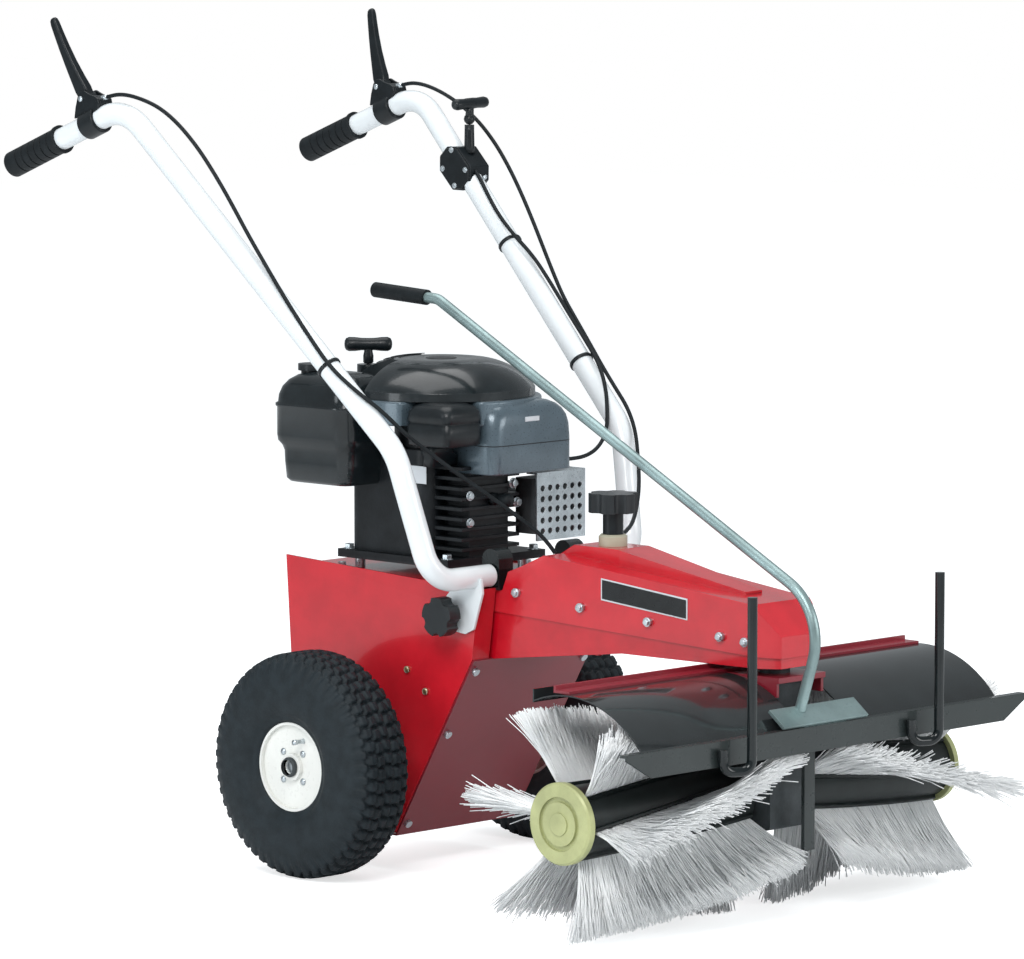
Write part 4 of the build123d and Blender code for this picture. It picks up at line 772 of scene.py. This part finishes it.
def loft(rings):
    """Closed surface through rings of equally many points."""
    count = len(rings[0])
    vertices = [point for ring in rings for point in ring]
    faces = [tuple(range(count))[::-1]]
    for level in range(len(rings) - 1):
        for index in range(count):
            after = (index + 1) % count
            faces.append((level * count + index, level * count + after, (level + 1) * count + after,
                          (level + 1) * count + index))
    faces.append(tuple(range((len(rings) - 1) * count, len(rings) * count)))
    return vertices, faces


def stack(levels):
    """Moulded box: rounded rectangles (z, x0, x1, y0, y1, corner radius) one above the other."""
    rings = []
    for z, x0, x1, y0, y1, radius in levels:
        middle_x, middle_y = (x0 + x1) / 2, (y0 + y1) / 2
        rings.append([place(middle_x + u, middle_y + v, z)
                      for u, v in rounded_rectangle((x1 - x0) / 2, (y1 - y0) / 2, radius)])
    return loft(rings)


GRIP_X = 311
BEND = (327, 1127)
GRIP_FALL = 100 / 261
PIVOT = (408.2, 1136.1)


def tube_height(y):
    return BEND[1] - (y - BEND[0]) * GRIP_FALL


def add_lever_perch(side):
    """Lever bracket: a split clamp round the tube, a perch with two cheeks and a cable adjuster."""
    suffix = "left" if side > 0 else "right"
    along = Vector((0, 1, -GRIP_FALL)).normalized()
    centre = place(side * GRIP_X, 394, tube_height(394))
    band = [(0.0168, -0.017), (0.0205, -0.017), (0.0215, -0.0155), (0.0215, 0.0155), (0.0205, 0.017),
            (0.0168, 0.017)]
    parts = [lathe(band, 48, centre, along)]
    outline = [(424, 1106), (421, 1124), (416, 1140), (411, 1147), (403, 1149), (396, 1146), (388, 1143),
               (378, 1141), (371, 1137), (369, 1130), (372, 1122), (380, 1117), (386, 1112)]

    def cheek(low, high):
        return prism(outline, low, high, lambda y, z, x: place(side * x, y, z))

    parts.append(cheek(GRIP_X + 10.2, GRIP_X + 14.5))
    parts.append(cheek(GRIP_X - 14.5, GRIP_X - 10.2))
    bridge = [(398, 1112), (397, 1128), (392, 1142), (378, 1141), (371, 1137), (369, 1130), (372, 1122),
              (380, 1117)]
    parts.append(prism(bridge, GRIP_X - 10.4, GRIP_X + 10.4, lambda y, z, x: place(side * x, y, z)))
    vertices, faces = merge(parts)
    perch = piece("lever_perch_" + suffix, vertices, faces, PLASTIC, "handle_" + suffix,
                  smooth=False)
    soften(perch, 0.0016, 3)
    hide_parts("lever_mount_" + suffix)
    screw = [(0.0, 0.0), (0.0045, 0.0), (0.0045, 0.0018), (0.0035, 0.0026), (0.0, 0.0027)]
    adjuster = [(0.0, -0.006), (0.0052, -0.006), (0.0052, 0.003), (0.0046, 0.004), (0.0046, 0.012),
                (0.0038, 0.014), (0.0038, 0.019), (0.0, 0.0195)]
    direction = Vector((0, -25, 7.5)).normalized()
    fittings = [lathe(adjuster, 24, place(side * GRIP_X, 384, 1134.6), direction)]
    for face in (-1, 1):
        spot = place(side * GRIP_X, *PIVOT)
        spot.x += face * 0.0142
        fittings.append(lathe(screw, 24, spot, (face, 0, 0)))
    vertices, faces = merge(fittings)
    piece("lever_fittings_" + suffix, vertices, faces, ZINC, "handle_" + suffix)


def add_lever(side):
    """Moulded hand lever: round boss, broad foot and a slightly bowed blade with a rounded tip."""
    suffix = "left" if side > 0 else "right"
    base = Vector((GRIP_X, *PIVOT))
    tip = Vector((GRIP_X + 24, 458, 1256))
    axis = (tip - base).normalized()
    length = (tip - base).length
    fore = Vector((0, axis.z, -axis.y)).normalized()
    across = axis.cross(fore).normalized()
    stations = [(0.00, 8.5, 5.5, 3.0), (0.05, 12.0, 6.8, 3.5), (0.12, 13.0, 7.2, 4.0),
                (0.25, 11.4, 6.9, 4.0),
                (0.45, 9.6, 6.4, 4.0), (0.65, 8.3, 6.0, 4.0), (0.82, 7.5, 5.6, 4.0), (0.93, 7.1, 5.3, 4.0),
                (0.975, 6.2, 4.6, 3.8), (0.995, 4.2, 3.0, 2.6), (1.00, 2.0, 1.4, 1.2)]
    rings = []
    for share, half_fore, half_across, radius in stations:
        bow = 3.2 * math.sin(math.pi * share)
        centre = base + axis * (length * share) + fore * bow
        ring = []
        for u, v in rounded_rectangle(half_fore, half_across, radius):
            spot = centre + fore * u + across * v
            ring.append(place(side * spot.x, spot.y, spot.z))
        rings.append(ring if side > 0 else ring[::-1])
    boss = [(0.0, -0.0095), (0.0108, -0.0095), (0.0118, -0.0085), (0.0118, 0.0085), (0.0108, 0.0095),
            (0.0, 0.0095)]
    vertices, faces = merge([loft(rings), lathe(boss, 40, place(side * GRIP_X, *PIVOT), (1, 0, 0))])
    blade = piece("lever_blade_" + suffix, vertices, faces, PLASTIC, "lever_" + suffix)
    blade.modifiers.new("normals", "WEIGHTED_NORMAL")
    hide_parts("drive_lever_" + suffix)


def add_throttle():
    """Throttle control: an eight-sided housing with a lid and screws, and a T-knob on a stem."""
    middle = (297, 216, 1016)
    tilt = math.radians(-44)
    octagon = [(-27, -20), (-11, -36), (11, -36), (27, -20), (27, 20), (11, 36), (-11, 36), (-27, 20)]

    def turned(scale):
        return [(middle[1] + scale * (a * math.cos(tilt) - b * math.sin(tilt)),
                 middle[2] + scale * (a * math.sin(tilt) + b * math.cos(tilt))) for a, b in octagon]

    def to_space(y, z, x):
        return place(x, y, z)

    vertices, faces = merge([prism(turned(1.0), 276, 318, to_space),
                             prism(turned(0.93), 273.5, 276.2, to_space),
                             prism(turned(0.93), 317.8, 320.5, to_space)])
    housing = piece("throttle_housing", vertices, faces, PLASTIC, "handle_left",
                    smooth=False)
    soften(housing, 0.0022, 3)
    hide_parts("throttle_box")
    screws = []
    for a, b in ((-17, -18), (17, -20), (18, 16), (-16, 24)):
        y = middle[1] + a * math.cos(tilt) - b * math.sin(tilt)
        z = middle[2] + a * math.sin(tilt) + b * math.cos(tilt)
        screws.append(hex_bolt(place(273.7, y, z), (-1, 0, 0), 0.0062, 0.0032))
    screws.append(hex_bolt(place(297, 173, 1004), (0, -0.72, -0.69), 0.0065, 0.0034))
    vertices, faces = merge(screws)
    heads = piece("throttle_screws", vertices, faces, ZINC, "handle_left", smooth=False)
    soften(heads, 0.0003, 2)
    post = [(0.0, 0.0), (0.0095, 0.0), (0.0080, 0.010), (0.0075, 0.034), (0.0075, 0.0432), (0.0, 0.0432)]
    vertices, faces = lathe(post, 32, place(298, 206, 1040), (0, 0, 1))
    piece("throttle_post", vertices, faces, PLASTIC, "handle_left")
    pivot = place(298, 206, 1092)
    top = place(300, 206, 1116)
    stem = (top - pivot).length
    shaft = [(0.0, 0.004), (0.0068, 0.004), (0.0062, 0.012), (0.0058, stem), (0.0, stem)]
    hub = [(0.0, -0.0088), (0.0044, -0.0076), (0.0076, -0.0044), (0.0088, 0.0), (0.0076, 0.0044),
           (0.0044, 0.0076), (0.0, 0.0088)]
    half = 0.037
    bar = [(0.0, -half), (0.0045, -half + 0.0006), (0.0075, -half + 0.003), (0.0088, -half + 0.008),
           (0.0080, -0.014), (0.0086, -0.006), (0.0086, 0.006), (0.0080, 0.014), (0.0088, half - 0.008),
           (0.0075, half - 0.003), (0.0045, half - 0.0006), (0.0, half)]
    vertices, faces = merge([lathe(shaft, 32, pivot, top - pivot), lathe(hub, 32, pivot, (0, 0, 1)),
                             lathe(bar, 32, top, (1, 0, 0.04))])
    knob = piece("throttle_knob", vertices, faces, PLASTIC, "throttle")
    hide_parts("throttle_lever")


# ---- Engine -------------------------------------------------------------------------------------
DOME_CENTRE_Y = -26
DOME_ARC = ((140, 712), (96, 746), (40, 754))


def dome_height(radius):
    """Height of the starter cover at a distance from the crank axis."""
    total = 0.0
    for index, (r, z) in enumerate(DOME_ARC):
        weight = 1.0
        for other, (q, _) in enumerate(DOME_ARC):
            if other != index:
                weight *= (radius - q) / (r - q)
        total += z * weight
    return total


def add_tank():
    """Fuel tank with soft shoulders, a moulded seam and a narrower lower half."""
    levels = [(568.5, -152, -78, 24, 136, 16), (570, -159, -70, 16, 144, 18),
              (575, -164, -66.5, 12, 148, 20),
              (600, -166, -66.5, 10, 150, 21), (616, -166, -66.5, 9, 151, 21),
              (624, -168, -66.5, 6, 155, 23),
              (631, -173, -66.5, 3, 160, 25), (640, -174.5, -66.5, 2, 161, 26),
              (681, -175, -66.5, 2, 161, 27),
              (683, -177, -66.5, 2, 163, 28), (687, -177, -66.5, 2, 163, 28),
              (689, -174, -66.5, 2.5, 160, 27),
              (700, -173, -66.5, 3, 159, 27), (712, -170, -66.5, 5, 155, 28), (722, -163, -68, 10, 148, 28),
              (729, -153, -74, 18, 138, 26), (733, -140, -84, 32, 124, 22), (734, -126, -98, 48, 108, 12)]
    vertices, faces = stack(levels)
    tank = piece("moulded_tank", vertices, faces, SMOOTH_PLASTIC, "chassis")
    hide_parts("fuel_tank")


def add_housing():
    """Blower housing: a round deck and, in front of it, a shroud that rounds over at its top."""
    edge = []
    steps = 120
    for step in range(steps):
        turn = 2 * math.pi * step / steps
        x = 149.5 * math.cos(turn)
        y = DOME_CENTRE_Y + 149.5 * math.sin(turn)
        if y > -2.6:
            x = max(x, -65.4)
        if -172.6 < y < -81.4:
            x = max(x, -57.4)
        edge.append((x, y))
    vertices, faces = prism(edge, 664, 700, lambda x, y, z: place(x, y, z))
    deck = piece("blower_deck", vertices, faces, GREY, "chassis", smooth=False)
    soften(deck, 0.0035, 3, 50)
    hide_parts("blower_housing")
    levels = [(592, -53, 121, -185, -80, 20), (594, -54, 122, -186, -80, 22), (640, -54, 122, -186, -80, 22),
              (660, -54, 121, -186, -80, 24), (673, -53, 118, -185.5, -80, 27),
              (683, -51, 112, -183, -81, 29),
              (690, -46, 103, -179, -83, 28), (695, -38, 91, -172, -87, 25), (697.6, -27, 76, -163, -93, 20),
              (698.2, -10, 58, -152, -102, 12)]
    vertices, faces = stack(levels)
    shroud = piece("blower_shroud", vertices, faces, GREY, "chassis")
    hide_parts("blower_housing")
    vertices, faces = stack([(634, -54.3, 122.3, -186.3, -80, 22.3),
                             (635.4, -54.3, 122.3, -186.3, -80, 22.3)])
    line = piece("shroud_seam", vertices, faces, ENGINE_BLACK, "chassis", smooth=False)
    soften(line, 0.0002, 1)
    outline = [(14, 668), (44, 668), (44, 675), (14, 675)]
    vertices, faces = prism(outline, -186.3, -184, lambda x, z, y: place(x, y, z))
    badge = piece("blank_badge", vertices, faces, LABEL, "chassis", smooth=False)
    soften(badge, 0.0003, 2)


def add_filter():
    """Air filter box with a domed lid, a seam and a clip."""
    levels = [(636.5, -128, -66, -164, -90, 8), (639, -134, -60, -170, -84, 10),
              (668, -135, -58.5, -171, -82.5, 12),
              (670, -133, -60, -169, -84, 11), (672, -133, -60, -169, -84, 11),
              (674, -136, -58, -172, -82, 13),
              (688, -134, -58.5, -170, -83, 14), (695, -129, -62, -165, -88, 15),
              (699, -120, -70, -155, -98, 13),
              (700, -108, -82, -142, -110, 8)]
    neck = [(604, -110, -54, -116, -94, 6), (618, -110, -54, -116, -94, 6), (624, -112, -66, -120, -90, 8),
            (638, -112, -66, -122, -88, 8)]
    vertices, faces = merge([stack(levels), stack(neck)])
    box = piece("moulded_filter", vertices, faces, PLASTIC, "chassis")
    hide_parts("air_filter_box")


def add_starter_handle():
    """Starter grip: a waisted bar with rounded ends on a short neck."""
    profile = [(0.0, -0.0360), (0.0050, -0.0355), (0.0088, -0.0335), (0.0108, -0.0290), (0.0106, -0.0200),
               (0.0094, -0.0100), (0.0092, 0.0), (0.0094, 0.0100), (0.0106, 0.0200), (0.0108, 0.0290),
               (0.0088, 0.0335), (0.0050, 0.0355), (0.0, 0.0360)]
    neck = [(0.0, 0.0), (0.0060, 0.0), (0.0078, 0.002), (0.0078, 0.012), (0.0064, 0.018), (0.0064, 0.028)]
    vertices, faces = merge([lathe(profile, 40, place(-20, 108, 768), (1, -1, 0)),
                             lathe(neck, 32, place(-20, 108, 739), (0, 0, 1))])
    grip = piece("starter_handle", vertices, faces, PLASTIC, "starter")
    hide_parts("recoil_grip")


def add_engine_details():
    """Louvres and a boss on the starter cover, cylinder nuts, a spark plug, foot bolts and a tag."""
    parts = []
    for ring in range(5):
        inner = 62 + 11 * ring
        outer = inner + 5.5
        vertices, faces = [], []
        steps = 20
        for step in range(steps + 1):
            turn = math.radians(68 + 52 * step / steps)
            for radius, lift in ((inner, 0.0), (inner + 0.6, 1.3), (outer - 0.6, 1.3), (outer, 0.0)):
                vertices.append(place(radius * math.cos(turn), DOME_CENTRE_Y + radius * math.sin(turn),
                                      dome_height(radius) + lift - 0.1))
        for step in range(steps):
            for k in range(3):
                a = step * 4 + k
                faces.append((a, a + 4, a + 5, a + 1))
        for start in (0, steps * 4):
            faces.append((start, start + 1, start + 2, start + 3))
        parts.append((vertices, faces))
    boss = [(0.0, 0.0008), (0.022, 0.0008), (0.0235, 0.0002), (0.0245, -0.001)]
    parts.append(lathe(boss, 48, place(0, DOME_CENTRE_Y, 754), (0, 0, 1)))
    vertices, faces = merge(parts)
    piece("cover_louvres", vertices, faces, ENGINE_BLACK, "chassis", smooth=False)
    nuts = [hex_bolt(place(33.5, -141.5, 572.5), (0, -1, 0), 0.011, 0.006),
            hex_bolt(place(42, -141.5, 543.4), (0, -1, 0), 0.011, 0.006),
            hex_bolt(place(-58, -141.5, 560), (0, -1, 0), 0.010, 0.005),
            hex_bolt(place(-58, -141.5, 520), (0, -1, 0), 0.010, 0.005)]
    for x in (-92, 92):
        for y in (-128, 76):
            nuts.append(hex_bolt(place(x, y, 468), (0, 0, 1), 0.013, 0.0075))
    for x, y in ((-118, -60), (112, -86), (118, 40), (0, 106)):
        nuts.append(hex_bolt(place(x, y, 700), (0, 0, 1), 0.010, 0.005))
    vertices, faces = merge(nuts)
    heads = piece("engine_nuts", vertices, faces, ZINC, "chassis", smooth=False)
    soften(heads, 0.0003, 2)
    plug = [(0.0, -0.004), (0.0095, -0.004), (0.0095, 0.004), (0.0070, 0.006), (0.0070, 0.010),
            (0.0090, 0.012), (0.0095, 0.030), (0.0080, 0.034), (0.0, 0.035)]
    vertices, faces = lathe(plug, 32, place(-6, -141, 552), (0, -1, 0))
    piece("plug_boot", vertices, faces, RUBBER, "chassis")
    outline = [(-86, 576), (-52, 576), (-52, 602), (-86, 602)]
    vertices, faces = prism(outline, 0.2, 0.8, lambda y, z, lift: place(-92 - lift, y, z))
    tag = piece("blank_tag", vertices, faces, LABEL, "chassis", smooth=False)
    soften(tag, 0.0003, 2)


# ---- Assembly -----------------------------------------------------------------------------------
add_camera()
add_cable("cable_right", CABLE_RIGHT)
add_cable("cable_left", CABLE_LEFT)
add_cable("cable_throttle", CABLE_THROTTLE)
add_studio()
finish_nodes()
add_bristles(1, "bristles_left")
add_bristles(-1, "bristles_right")
add_carrier_bands()
add_tyre(1, "tyre_left", "wheel_left")
add_tyre(-1, "tyre_right", "wheel_right")
add_label_panel()
add_body_screws()
add_cable_clips()
add_starter_rope()
for hand in (-1, 1):
    add_lever_perch(hand)
    add_lever(hand)
add_throttle()
add_tank()
add_housing()
add_filter()
add_starter_handle()
add_engine_details()
